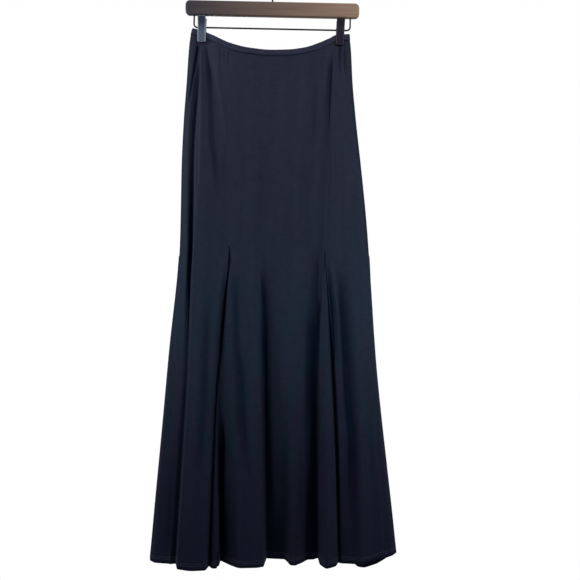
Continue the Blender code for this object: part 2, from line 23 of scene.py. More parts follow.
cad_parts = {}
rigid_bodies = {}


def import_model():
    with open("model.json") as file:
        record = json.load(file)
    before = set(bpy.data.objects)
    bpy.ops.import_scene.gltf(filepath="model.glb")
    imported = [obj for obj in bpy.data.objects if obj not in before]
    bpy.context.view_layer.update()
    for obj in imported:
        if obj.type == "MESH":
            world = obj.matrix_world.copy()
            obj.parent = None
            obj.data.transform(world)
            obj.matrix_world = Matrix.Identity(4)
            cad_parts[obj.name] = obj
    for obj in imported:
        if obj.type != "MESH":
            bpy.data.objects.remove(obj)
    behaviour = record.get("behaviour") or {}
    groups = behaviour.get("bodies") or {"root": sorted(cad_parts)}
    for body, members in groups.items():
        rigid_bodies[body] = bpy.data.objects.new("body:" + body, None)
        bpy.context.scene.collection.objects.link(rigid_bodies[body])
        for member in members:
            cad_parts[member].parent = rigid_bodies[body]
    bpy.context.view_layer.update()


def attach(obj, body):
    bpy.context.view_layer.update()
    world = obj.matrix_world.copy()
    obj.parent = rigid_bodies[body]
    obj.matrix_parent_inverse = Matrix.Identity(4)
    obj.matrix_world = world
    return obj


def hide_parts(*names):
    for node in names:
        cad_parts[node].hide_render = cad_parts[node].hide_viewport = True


LOG = logging.getLogger("skirt")
MM = 0.001
BODY = "root"
MERGE_DISTANCE = 0.001  # between points of a sheet that are one
COINCIDENT = 1e-6  # between corners of lines that are one
TINY = 1e-9  # keeps a length that something is divided by away from zero

# Heights of the levels at which the lines of the cloth are placed
CLIP_LEVEL = -150.0
HIP_LEVEL = -390.0
GODET_LEVEL = -566.0
SIDE_GODET_LEVEL = -586.0
KNEE_LEVEL = -840.0
HEM_LEVEL = -1200.0
ALL_LEVELS = 5  # clip, hip, a line's own top, knee and hem
LOWER_LEVELS = 3  # a line's own top, knee and hem


class Slot(Enum):
    """The finishes of the record that the pieces take."""

    JERSEY = "jersey"
    WOOD = "stained_wood"
    WIRE = "bright_wire"
    CLIP = "clip_steel"


class Side(Enum):
    """The side of the skirt that a crease lies on, as the way it faces along Y."""

    FRONT = -1
    BACK = 1


class Space(Enum):
    """The coordinates that a pattern follows: the cloth's own, or those of the whole object."""

    CLOTH = "UV"
    OBJECT = "Object"


# ------------------------ materials
Number = Union["Value", float]
Triple = tuple[float, float, float]
Color = Triple
Stops = tuple[tuple[float, Color], ...]


class Value:
    """A number that varies over a surface: a socket, with arithmetic that adds Math nodes."""

    def __init__(self, tree: "NodeTree", socket: bpy.types.NodeSocket) -> None:
        """Wrap an output socket of a node tree."""
        self.tree = tree
        self.socket = socket

    def _math(self, operation: str, first: Number, second: Number = 0.0) -> "Value":
        """Add a Math node and return its result."""
        node = self.tree.node("ShaderNodeMath", {"operation": operation}, {0: first, 1: second})
        return Value(self.tree, node.outputs[0])

    def __add__(self, other: Number) -> "Value":
        """Sum."""
        return self._math("ADD", self, other)

    def __radd__(self, other: Number) -> "Value":
        """Sum, with the number first."""
        return self._math("ADD", other, self)

    def __sub__(self, other: Number) -> "Value":
        """Difference."""
        return self._math("SUBTRACT", self, other)

    def __rsub__(self, other: Number) -> "Value":
        """Difference, with the number first."""
        return self._math("SUBTRACT", other, self)

    def __mul__(self, other: Number) -> "Value":
        """Product."""
        return self._math("MULTIPLY", self, other)

    def __rmul__(self, other: Number) -> "Value":
        """Product, with the number first."""
        return self._math("MULTIPLY", other, self)

    def sine(self) -> "Value":
        """Sine of an angle in radians."""
        return self._math("SINE", self)


class NodeTree:
    """A shader's nodes, with one way to add them."""

    def __init__(self, tree: bpy.types.NodeTree) -> None:
        """Take over a node tree."""
        self.tree = tree

    def node(self, kind: str, settings: dict[str, Any] | None = None,
             inputs: dict[Any, Any] | None = None) -> bpy.types.Node:
        """Add a node.

        Args:
            kind: the node's type.
            settings: properties, set first; a ramp's stops are given as "stops".
            inputs: values or links of its sockets, by name or number.

        Returns:
            The new node.
        """
        made = self.tree.nodes.new(kind)
        for key, value in (settings or {}).items():
            if key == "stops":
                self._set_stops(made.color_ramp, value)
            else:
                setattr(made, key, value)
        for key, value in (inputs or {}).items():
            self.feed(made.inputs[key], value)
        return made

    @staticmethod
    def _set_stops(ramp: bpy.types.ColorRamp, stops: Stops) -> None:
        """Give a colour ramp its stops.

        Args:
            ramp: the ramp of a new node.
            stops: pairs of a place and a colour, in order.
        """
        while len(ramp.elements) < len(stops):
            ramp.elements.new(1.0)
        for element, (place, color) in zip(ramp.elements, stops):
            element.position = place
            element.color = (*color, 1.0)

    def feed(self, socket: bpy.types.NodeSocket, value: Any) -> None:
        """Link or set a socket.

        Args:
            socket: an input.
            value: a value or another socket to link to it, or a constant to set it to.
        """
        if isinstance(value, Value):
            value = value.socket
        if isinstance(value, bpy.types.NodeSocket):
            self.tree.links.new(value, socket)
        elif isinstance(value, tuple) and socket.type == "RGBA":
            socket.default_value = (*value, 1.0)
        else:
            socket.default_value = value

    def value(self, node: bpy.types.Node, output: str | int = 0) -> Value:
        """An output of a node as a value for arithmetic."""
        return Value(self, node.outputs[output])


class Finish(NodeTree):
    """A material under construction: a Principled surface and the nodes that feed it."""

    def __init__(self, name: str, constants: dict[str, Any]) -> None:
        """Start a material.

        Args:
            name: the material's name.
            constants: values of the Principled shader that are the same all over.
        """
        self.material = bpy.data.materials.new(name)
        self.material.use_nodes = True
        super().__init__(self.material.node_tree)
        self.shader = self.tree.nodes["Principled BSDF"]
        for socket, value in constants.items():
            self.shader.inputs[socket].default_value = value

    def attribute(self, name: str) -> Value:
        """A number stored on the mesh."""
        node = self.node("ShaderNodeAttribute", {"attribute_name": name})
        return self.value(node, "Fac")

    def coordinates(self, space: Space, scale: Triple) -> bpy.types.NodeSocket:
        """Coordinates in metres, stretched by a scale along each axis."""
        source = self.node("ShaderNodeTexCoord").outputs[space.value]
        return self.node("ShaderNodeMapping", inputs={"Vector": source, "Scale": scale}).outputs[0]

    def axes(self, space: Space) -> list[Value]:
        """X, Y and Z in metres."""
        plain = self.coordinates(space, (1.0, 1.0, 1.0))
        split = self.node("ShaderNodeSeparateXYZ", inputs={0: plain})
        return [self.value(split, axis) for axis in "XYZ"]

    def grain(self, space: Space, scale: Triple, detail: float) -> Value:
        """Noise from 0 to 1.

        Args:
            space: the coordinates that it follows.
            scale: its features to a metre along each axis.
            detail: how many finer layers it has.

        Returns:
            The noise.
        """
        node = self.node("ShaderNodeTexNoise", {"noise_dimensions": "3D"},
                         {"Vector": self.coordinates(space, scale), "Scale": 1.0,
                          "Detail": detail})
        return self.value(node, "Fac")

    def ramp(self, stops: Stops, place: Value) -> bpy.types.NodeSocket:
        """Colour of a ramp at a place on it."""
        node = self.node("ShaderNodeValToRGB", {"stops": stops}, {"Fac": place})
        return node.outputs["Color"]

    def blend(self, factor: Number, first: Any, second: Any) -> bpy.types.NodeSocket:
        """Mix of two colours."""
        node = self.node("ShaderNodeMix", {"data_type": "RGBA"}, {0: factor, 6: first, 7: second})
        return node.outputs[2]

    def product(self, first: Any, second: Any) -> bpy.types.NodeSocket:
        """Product of two colours."""
        node = self.node("ShaderNodeMix", {"data_type": "RGBA", "blend_type": "MULTIPLY"},
                         {0: 1.0, 6: first, 7: second})
        return node.outputs[2]

    def color(self, value: Any) -> None:
        """Feed the base colour."""
        self.feed(self.shader.inputs["Base Color"], value)

    def roughness(self, smoothest: float, added: float, grain: Value) -> None:
        """Feed the roughness: its least, and what a grain adds to it."""
        self.feed(self.shader.inputs["Roughness"], smoothest + added * grain)

    def relief(self, height: Number, depth: float, strength: float) -> None:
        """Feed the normal from a height.

        Args:
            height: the height, from 0 to 1.
            depth: how high a height of 1 stands, in metres.
            strength: how much of it shows.
        """
        bump = self.node("ShaderNodeBump", inputs={"Height": height, "Distance": depth,
                                                   "Strength": strength})
        self.feed(self.shader.inputs["Normal"], bump.outputs[0])


@dataclass(frozen=True)
class JerseyKnit:
    """Matt navy jersey: fine ribs down the cloth, rows of loops across them, soft streaks.

    The colour turns from plum at the waist through petrol below the hip to violet at the hem,
    and where it turns it has patches of both casts. The mesh says how near a seam the cloth
    lies, where a painted highlight lightens it, and how much painted shade darkens it: in
    folds, in the cores of creases, under the band and along the hem's edge. A scale is the
    features to a metre across the cloth and down it.
    """

    name: str = "navy jersey"
    lightness: float = 1.0
    tones: Stops = (
        (0.00, (0.0180, 0.0196, 0.0340)),
        (0.22, (0.0166, 0.0210, 0.0368)),
        (0.38, (0.0174, 0.0244, 0.0428)),
        (0.52, (0.0164, 0.0250, 0.0446)),
        (0.63, (0.0158, 0.0240, 0.0410)),
        (0.75, (0.0128, 0.0174, 0.0348)),
        (0.84, (0.0124, 0.0139, 0.0306)),
        (1.00, (0.0100, 0.0113, 0.0264)),
    )
    plum_cast: Stops = (
        (0.20, (1.05, 0.98, 1.00)),
        (0.54, (1.12, 0.96, 1.00)),
        (0.73, (1.38, 0.88, 1.02)),
        (0.87, (1.03, 0.99, 1.00)),
    )
    petrol_cast: Stops = (
        (0.20, (0.96, 1.01, 1.00)),
        (0.54, (0.90, 1.03, 1.00)),
        (0.73, (0.68, 1.10, 1.00)),
        (0.87, (0.98, 1.01, 1.00)),
    )
    # Painted shade: tints that darken the cloth by its fold mark, in folds, crease cores, under the
    # band and along the hem's edge
    fold_shade_tints: Stops = (
        (0.00, (1.0, 1.0, 1.0)),
        (0.20, (0.780, 0.810, 0.840)),
        (0.45, (0.430, 0.535, 0.660)),
        (0.65, (0.190, 0.335, 0.520)),
        (0.78, (0.075, 0.205, 0.400)),
        (0.88, (0.020, 0.100, 0.250)),
        (1.00, (0.000, 0.014, 0.070)),
    )
    # Painted highlight along the seams, where they catch a little light
    seam_highlight: Color = (0.036, 0.043, 0.064)
    seam_highlight_share: float = 0.1  # how much of the painted seam highlight shows in the middle of a seam
    skirt_length: float = 1.1  # metres from the first of the tones to the last
    streakiness: float = 0.27  # how far the shade lightens and darkens a tone
    shade_weights: tuple[float, ...] = (0.85, 0.5, 0.85, 0.25)  # streaks, mottle, weft, fuzz
    streak_drift: float = 0.16  # how far streaks move the tones down the skirt
    patch_drift: float = 0.2  # and patches
    cast_contrast: float = 2.4
    streak_scale: Triple = (36.0, 2.2, 1.0)
    mottle_scale: Triple = (90.0, 60.0, 1.0)
    weft_scale: Triple = (45.0, 420.0, 1.0)
    patch_scale: Triple = (15.0, 8.0, 1.0)
    cast_scale: Triple = (30.0, 12.0, 1.0)
    fuzz_scale: Triple = (900.0, 900.0, 900.0)
    wale: float = 0.0011  # metres from one rib to the next
    course: float = 0.0009  # metres from one row of loops to the next
    rib_height: float = 0.35
    loop_height: float = 0.2
    loop_bend: float = 0.9  # how far the ribs bend the rows of loops, in radians
    fuzz_height: float = 0.35
    depth: float = 0.00022  # metres that a height of 1 stands for

    def _tone(self, finish: Finish, height: Value, factor: float) -> bpy.types.NodeSocket:
        """The colour at a height on the cloth, times a factor."""
        return finish.ramp(tuple((place, tuple(c * factor * self.lightness for c in color))
                                 for place, color in self.tones), height)

    def make(self) -> bpy.types.Material:
        """Build the material.

        Returns:
            The material.
        """
        finish = Finish(self.name, {"Metallic": 0.0, "Specular IOR Level": 0.03, "IOR": 1.45,
                                    "Sheen Weight": 0.012, "Sheen Roughness": 0.5})
        streaks = finish.grain(Space.CLOTH, self.streak_scale, 3.0)
        mottle = finish.grain(Space.CLOTH, self.mottle_scale, 2.0)
        weft = finish.grain(Space.CLOTH, self.weft_scale, 2.0)
        patches = finish.grain(Space.CLOTH, self.patch_scale, 2.0)
        fuzz = finish.grain(Space.CLOTH, self.fuzz_scale, 1.0)
        cast = finish.grain(Space.CLOTH, self.cast_scale, 1.0)
        shade = sum((grain * weight for grain, weight
                     in zip((streaks, mottle, weft, fuzz), self.shade_weights)),
                    0.5 - sum(self.shade_weights) / 2)
        across, down, _ = finish.axes(Space.CLOTH)
        height = down * (-1 / self.skirt_length)
        height = height + (streaks - 0.5) * self.streak_drift + (patches - 0.5) * self.patch_drift
        toned = finish.blend(shade, self._tone(finish, height, 1 - self.streakiness),
                            self._tone(finish, height, 1 + self.streakiness))
        casts = finish.blend((cast - 0.5) * self.cast_contrast + 0.5,
                             finish.ramp(self.petrol_cast, height),
                             finish.ramp(self.plum_cast, height))
        # Painted highlight near the seams
        seam_highlighted = finish.blend(finish.attribute("seam") * self.seam_highlight_share,
                            finish.product(toned, casts), self.seam_highlight)
        # Painted shade by the fold mark
        folded = finish.ramp(self.fold_shade_tints, finish.attribute("fold"))
        finish.color(finish.product(seam_highlighted, folded))
        finish.roughness(0.74, 0.12, fuzz)
        ribs = (across * (tau / self.wale)).sine()
        loops = (down * (tau / self.course) + ribs * self.loop_bend).sine()
        finish.relief(ribs * self.rib_height + loops * self.loop_height
                      + fuzz * self.fuzz_height, self.depth, 0.5)
        return finish.material


@dataclass(frozen=True)
class SewingThread:
    """Polyester thread of the hem, a shade lighter than the cloth."""

    name: str = "navy thread"
    dark: Color = (0.046, 0.050, 0.072)
    light: Color = (0.080, 0.086, 0.116)
    ply_scale: Triple = (900.0, 900.0, 900.0)

    def make(self) -> bpy.types.Material:
        """Build the material.

        Returns:
            The material.
        """
        finish = Finish(self.name, {"Metallic": 0.0, "Specular IOR Level": 0.3})
        ply = finish.grain(Space.OBJECT, self.ply_scale, 1.0)
        finish.color(finish.blend(ply, self.dark, self.light))
        finish.roughness(0.5, 0.2, ply)
        finish.relief(ply, 0.0001, 0.4)
        return finish.material


@dataclass(frozen=True)
class StainedWood:
    """Espresso-stained wood under satin lacquer, with its grain along the bar, and painted light
    from shade at its left end to a lit right end.
    """

    name: str = "espresso wood"
    # Painted light along the bar: its left end in painted shade, its right end painted lit
    shaded_end_dark: Color = (0.0095, 0.0080, 0.0145)
    shaded_end_light: Color = (0.0240, 0.0200, 0.0320)
    lit_end_dark: Color = (0.146, 0.094, 0.067)
    lit_end_light: Color = (0.264, 0.176, 0.125)
    half_length: float = 0.178  # metres from the middle of the bar to its end
    figure_scale: Triple = (5.0, 60.0, 60.0)
    grain_scale: Triple = (16.0, 900.0, 700.0)
    pore_scale: Triple = (90.0, 2200.0, 1700.0)
    pore_share: float = 0.4  # of the relief

    def make(self) -> bpy.types.Material:
        """Build the material.

        Returns:
            The material.
        """
        finish = Finish(self.name, {"Metallic": 0.0, "Specular IOR Level": 0.16,
                                    "Coat Roughness": 0.3, "Coat IOR": 1.5})
        broad = finish.grain(Space.OBJECT, self.figure_scale, 3.0)
        fine = finish.grain(Space.OBJECT, self.grain_scale, 4.0)
        pores = finish.grain(Space.OBJECT, self.pore_scale, 1.0)
        tone = broad + fine - 0.5
        # Painted light: from the shaded left end to the lit right end
        along = finish.axes(Space.OBJECT)[0] * (0.5 / self.half_length) + 0.5
        finish.color(finish.blend(along, finish.blend(tone, self.shaded_end_dark, self.shaded_end_light),
                                  finish.blend(tone, self.lit_end_dark, self.lit_end_light)))
        finish.roughness(0.42, 0.16, fine)
        finish.feed(finish.shader.inputs["Coat Weight"], 0.03 + 0.05 * broad)
        finish.relief(fine * (1 - self.pore_share) + pores * self.pore_share, 0.0001, 0.35)
        return finish.material


@dataclass(frozen=True)
class SmokedWire:
    """Steel wire under a dark smoky lacquer, with fine drawing marks along it."""

    name: str = "smoked wire"
    dark: Color = (0.010, 0.009, 0.010)
    light: Color = (0.026, 0.023, 0.025)
    mark_scale: Triple = (60.0, 900.0, 900.0)

    def make(self) -> bpy.types.Material:
        """Build the material.

        Returns:
            The material.
        """
        finish = Finish(self.name, {"Metallic": 0.0, "Specular IOR Level": 0.03})
        drawn = finish.grain(Space.OBJECT, self.mark_scale, 3.0)
        finish.color(finish.blend(drawn, self.dark, self.light))
        finish.roughness(0.32, 0.2, drawn)
        finish.relief(drawn, 0.00005, 0.3)
        return finish.material


@dataclass(frozen=True)
class PlatedSteel:
    """Plated sheet steel with fine brushing marks, with painted light up its lever and a painted
    highlight on its raised border.
    """

    name: str
    dark: Color
    light: Color
    # Painted light: the lever's colour up the lever, and a painted highlight on the raised border
    lever: Color
    rim: Color
    lever_foot: float  # height at which the plate starts to turn to the lever's painted light, in metres
    lever_rise: float = 0.018  # and how far up it has all of the lever's painted light
    mark_scale: Triple = (900.0, 900.0, 90.0)
    wear_scale: Triple = (70.0, 70.0, 70.0)

    def make(self) -> bpy.types.Material:
        """Build the material.

        Returns:
            The material.
        """
        finish = Finish(self.name, {"Metallic": 1.0})
        drawn = finish.grain(Space.OBJECT, self.mark_scale, 3.0)
        worn = finish.grain(Space.OBJECT, self.wear_scale, 3.0)
        # Painted light up the lever
        up = (finish.axes(Space.OBJECT)[2] - self.lever_foot) * (1 / self.lever_rise)
        plate = finish.blend(drawn * 0.5 + worn * 0.5, self.dark, self.light)
        plate = finish.blend(up, plate, self.lever)
        # Painted highlight on the raised border
        finish.color(finish.blend(finish.attribute("rim"), plate, self.rim))
        finish.roughness(0.45, 0.22, worn)
        finish.relief(drawn, 0.00005, 0.3)
        return finish.material


# ------------------------ curves and tables
class SmoothCurve:
    """The smooth curve through knots of (x, value), which never overshoots them."""

    def __init__(self, knots: Iterable[tuple[float, float]]) -> None:
        """Work out the curve's slopes at its knots.

        Args:
            knots: the points that it goes through, in any order.
        """
        ordered = sorted(knots)
        self.x = np.array([knot[0] for knot in ordered], float)
        self.y = np.array([knot[1] for knot in ordered], float)
        self.width = np.diff(self.x)
        slope = np.diff(self.y) / self.width
        agree = slope[:-1] * slope[1:]
        total = np.where(agree > 0, slope[:-1] + slope[1:], 1.0)
        inner = np.where(agree > 0, 2 * agree / total, 0.0)
        self.tangent = np.concatenate([slope[:1], inner, slope[-1:]])

    def __call__(self, x: Any) -> np.ndarray:
        """Read the curve at x, and at its nearest end outside it.

        Args:
            x: one place or an array of them.

        Returns:
            The value at every place.
        """
        x = np.clip(x, self.x[0], self.x[-1])
        i = np.clip(np.searchsorted(self.x, x, side="right") - 1, 0, len(self.width) - 1)
        t = (x - self.x[i]) / self.width[i]
        rise = t * t * (3 - 2 * t)
        return (self.y[i] * (1 - rise) + self.y[i + 1] * rise
                + self.width[i] * self.tangent[i] * t * (1 - t) ** 2
                - self.width[i] * self.tangent[i + 1] * t * t * (1 - t))


def run_length(points: np.ndarray, axis: int) -> np.ndarray:
    """Length along points, from 0 at the first.

    Args:
        points: an array of points, their three coordinates last.
        axis: the axis that the length runs along.

    Returns:
        The length at every point.
    """
    steps = np.linalg.norm(np.diff(points, axis=axis), axis=-1)
    return np.insert(np.cumsum(steps, axis=axis), 0, 0.0, axis=axis)


class Section(NamedTuple):
    """The plain tube at one height, before its folds: its sides, and how deep it is."""

    z: float
    left: float
    right: float
    front: float
    back: float


SECTIONS = (
    #        z      left    right  front  back
    Section(-119, -166.0, 156.5, 12.0, 12.0),
    Section(-136, -170.0, 157.0, 13.0, 12.6),
    Section(-164, -173.3, 159.6, 14.5, 13.6),
    Section(-225, -177.4, 162.6, 18.0, 16.0),
    Section(-307, -183.6, 170.0, 22.0, 19.0),
    Section(-390, -187.8, 178.8, 26.0, 22.0),
    Section(-512, -190.3, 190.6, 30.0, 26.0),
    Section(-574, -192.3, 195.3, 31.6, 27.6),
    Section(-635, -198.3, 199.6, 33.3, 29.3),
    Section(-758, -211.8, 208.2, 37.5, 33.5),
    Section(-840, -219.2, 214.8, 40.0, 36.0),
    Section(-1004, -234.6, 232.2, 44.3, 40.3),
    Section(-1168, -249.8, 249.9, 47.4, 43.4),
    Section(-1200, -252.8, 253.2, 48.0, 44.0),
)

# The upper edge of the waistband sags between the clips: (x, z)
WAIST_EDGE = ((-166, -119), (-146, -124), (-128, -132), (-108, -143), (-88, -152), (-51, -162),
              (-2, -167), (30, -166.3), (63, -162), (95, -151.2), (116, -140.4), (127, -133.8),
              (140, -132.5), (157, -131))

# The hem: (percent of the width from the left side, z)
HEM_FRONT = ((0, -1210), (12, -1206.2), (20, -1206.5), (30, -1206.6), (45, -1202.7),
             (58, -1203), (66, -1205.5), (69, -1202), (85, -1202), (100, -1194))
HEM_BACK = ((0, -1208), (30, -1205), (70, -1207), (80, -1213), (84, -1229), (87.5, -1245),
            (90, -1241), (94, -1224), (100, -1194))


class Line(NamedTuple):
    """A line that runs down the cloth: a seam, or the crown, edge or valley of a fold.

    across is its place as a percent of the width from the left side, and depth is how far it
    stands in front of the hanger's plane, less than zero behind it. Both are given at the
    last levels of clip, hip, top, knee and hem, as many as there are values. turn is the
    length of cloth on each side of the line that takes part in its turn at the hem, and tuck
    is how much further in the line lies about halfway from its top to the knee.
    """

    across: tuple[float, ...]
    depth: tuple[float, ...]
    turn: float
    top: float = GODET_LEVEL
    tuck: float = 0.0


class Cut(NamedTuple):
    """The flat cut of a piece in metres: its greatest width, its length and its area."""

    width: float
    length: float
    area: float


class Panel(NamedTuple):
    """A piece of cloth: its cut, the line of its first seam, then the lines of its folds."""

    name: str
    cut: Cut
    seam: Line
    folds: tuple[Line, ...]

    @property
    def is_godet(self) -> bool:
        """Whether the piece starts at a point in a seam, below the hip."""
        return self.name.startswith("godet")


# The pieces in order round the skirt: along the front to the right, along the back to the left
PANELS = (
    Panel("side_front_left", Cut(0.155, 1.09, 0.137),
          Line((0, 0, 0, 4.5, 8.5), (0, 0, 20, 30), 8, SIDE_GODET_LEVEL),
          (Line((3.6, 3.9, 4.6, 8.4, 9.3), (6, 10, 14, 30, 33), 6),
           Line((6.4, 7.0, 7.0, 10.7, 11.2), (1, 5, 3, 28, 30), 4),
           Line((8.2, 8.2, 8.4, 12.1, 12.6), (9, 20, 28, 42, 62), 4),
           Line((8.7, 12.4, 14.1, 16.1, 17.9), (24, 30, 52, 72), 14),
           Line((24.3, 23.8, 24.0), (44, 68), 5))),
    Panel("godet_front_left", Cut(0.120, 0.66, 0.0415),
          Line((24.0, 27.2, 26.9, 24.6, 24.8), (24, 30, 35, 44), 2.5, tuck=11),
          (Line((25.1, 26.1), (39, 57), 4, tuck=14),
           Line((25.5, 28.7), (41, 57), 2.5, tuck=12),
           Line((26.1, 28.8), (37, 12), 3, tuck=6),
           Line((28.0, 33.0), (43, 38), 8))),
    Panel("center_front", Cut(0.228, 1.06, 0.209),
          Line((24.0, 27.2, 26.9, 33.6, 36.7), (24, 30, 48, 60), 10),
          (Line((40.2, 42.8, 43.8), (54, 64), 12),
           Line((42.5, 45.2, 46.4), (47, 58), 4),
           Line((44.0, 46.3, 47.2), (27, 8), 4),
           Line((48.4, 50.0, 50.6), (39, 12), 10),
           Line((54.0, 54.6, 54.6), (48, 14), 8),
           Line((57.6, 58.0, 56.8), (52, 49), 6),
           Line((61.6, 61.5, 58.8), (53, 51), 8),
           Line((66.0, 64.6, 61.8), (50, 29), 8),
           Line((71.4, 66.8, 63.8), (37, 10), 6),
           Line((75.0, 70.5, 66.2), (28, 8), 4, tuck=-3))),
    Panel("godet_front_right", Cut(0.128, 0.66, 0.059),
          Line((90.0, 81.9, 76.7, 71.1, 67.9), (24, 30, 30, 6), 2.5, tuck=-3),
          (Line((71.4, 68.6), (46, 48), 4),
           Line((74.0, 70.8), (54, 73), 8),
           Line((77.3, 74.7), (46, 57), 4),
           Line((78.5, 75.9), (29, 36), 2))),
    Panel("side_front_right", Cut(0.100, 1.09, 0.081),
          Line((90.0, 81.9, 76.7, 79.6, 76.8), (24, 30, 45, 41), 3),
          (Line((83.5, 85.0, 81.4), (37, 44), 10),
           Line((89.9, 89.3, 84.6), (40, 50), 14),
           Line((95.0, 94.0, 90.2), (24, 32), 10))),
    Panel("godet_side_right", Cut(0.110, 0.64, 0.0341),
          Line((100, 100, 100, 97.0, 94.4), (0, 0, 17, 24), 8, SIDE_GODET_LEVEL),
          (Line((99.0, 98.0), (9, 15), 6),
           Line((100, 100), (0, 0), 6),
           Line((98.8, 97.4), (-11, -18), 6))),
    Panel("side_back_right", Cut(0.112, 1.09, 0.100),
          Line((100, 100, 100, 96.0, 93.0), (0, 0, -20, -36), 10, SIDE_GODET_LEVEL),
          (Line((91, 90, 88), (-38, -56), 12),
           Line((85, 86, 84.5), (-24, -24), 8),
           Line((80, 82, 81.5), (-40, -58), 8))),
    Panel("godet_back_right", Cut(0.128, 0.66, 0.0465),
          Line((80, 76, 75, 79, 79.2), (-20, -27, -24, -30), 6),
          (Line((76.6, 76.2), (-44, -66), 8),
           Line((74.2, 72.2), (-42, -60), 6),
           Line((72.2, 69.6), (-20, -20), 6))),
    Panel("center_back", Cut(0.230, 1.06, 0.203),
          Line((80, 76, 75, 70.2, 67.0), (-20, -27, -38, -52), 8),
          (Line((66, 63, 61), (-46, -64), 14),
           Line((58, 57, 55), (-26, -24), 9),
           Line((50, 50, 48.5), (-44, -60), 14),
           Line((42, 44, 42.5), (-27, -26), 9),
           Line((34, 37, 36.5), (-44, -62), 10))),
    Panel("godet_back_left", Cut(0.128, 0.66, 0.0468),
          Line((22, 25, 25.5, 31.8, 33.2), (-20, -27, -22, -22), 6),
          (Line((29.6, 30.8), (-42, -60), 6),
           Line((27.2, 27.0), (-44, -66), 8),
           Line((25.0, 24.2), (-20, -22), 6))),
    Panel("side_back_left", Cut(0.108, 1.09, 0.096),
          Line((22, 25, 25.5, 22.8, 21.6), (-20, -27, -38, -54), 8),
          (Line((18, 17, 16.5), (-44, -64), 12),
           Line((11, 12, 12.2), (-25, -28), 9))),
    Panel("godet_side_left", Cut(0.114, 0.64, 0.0398),
          Line((0, 0, 0, 4.5, 8.0), (0, 0, -22, -44), 10, SIDE_GODET_LEVEL),
          (Line((1.2, 2.6), (-12, -22), 7),
           Line((0, 0), (0, 0), 6),
           Line((1.0, 2.3), (10, 17), 6))),
)


class Crease(NamedTuple):
    """A soft ridge or trough laid on the cloth.

    path is a list of (x, z) down its middle, rise is how far it stands out, less than zero for
    a trough, and left and right are its reach on each side. It grows out of the cloth over
    fade_in below its upper end, and sinks back over fade_out above its lower end. shade is how
    dark its core is painted, from 0 to 1: painted shade where the cloth is pressed together in it.
    """

    path: tuple[tuple[float, float], ...]
    rise: float
    left: float
    right: float
    fade_in: float
    fade_out: float
    shade: float = 0.0


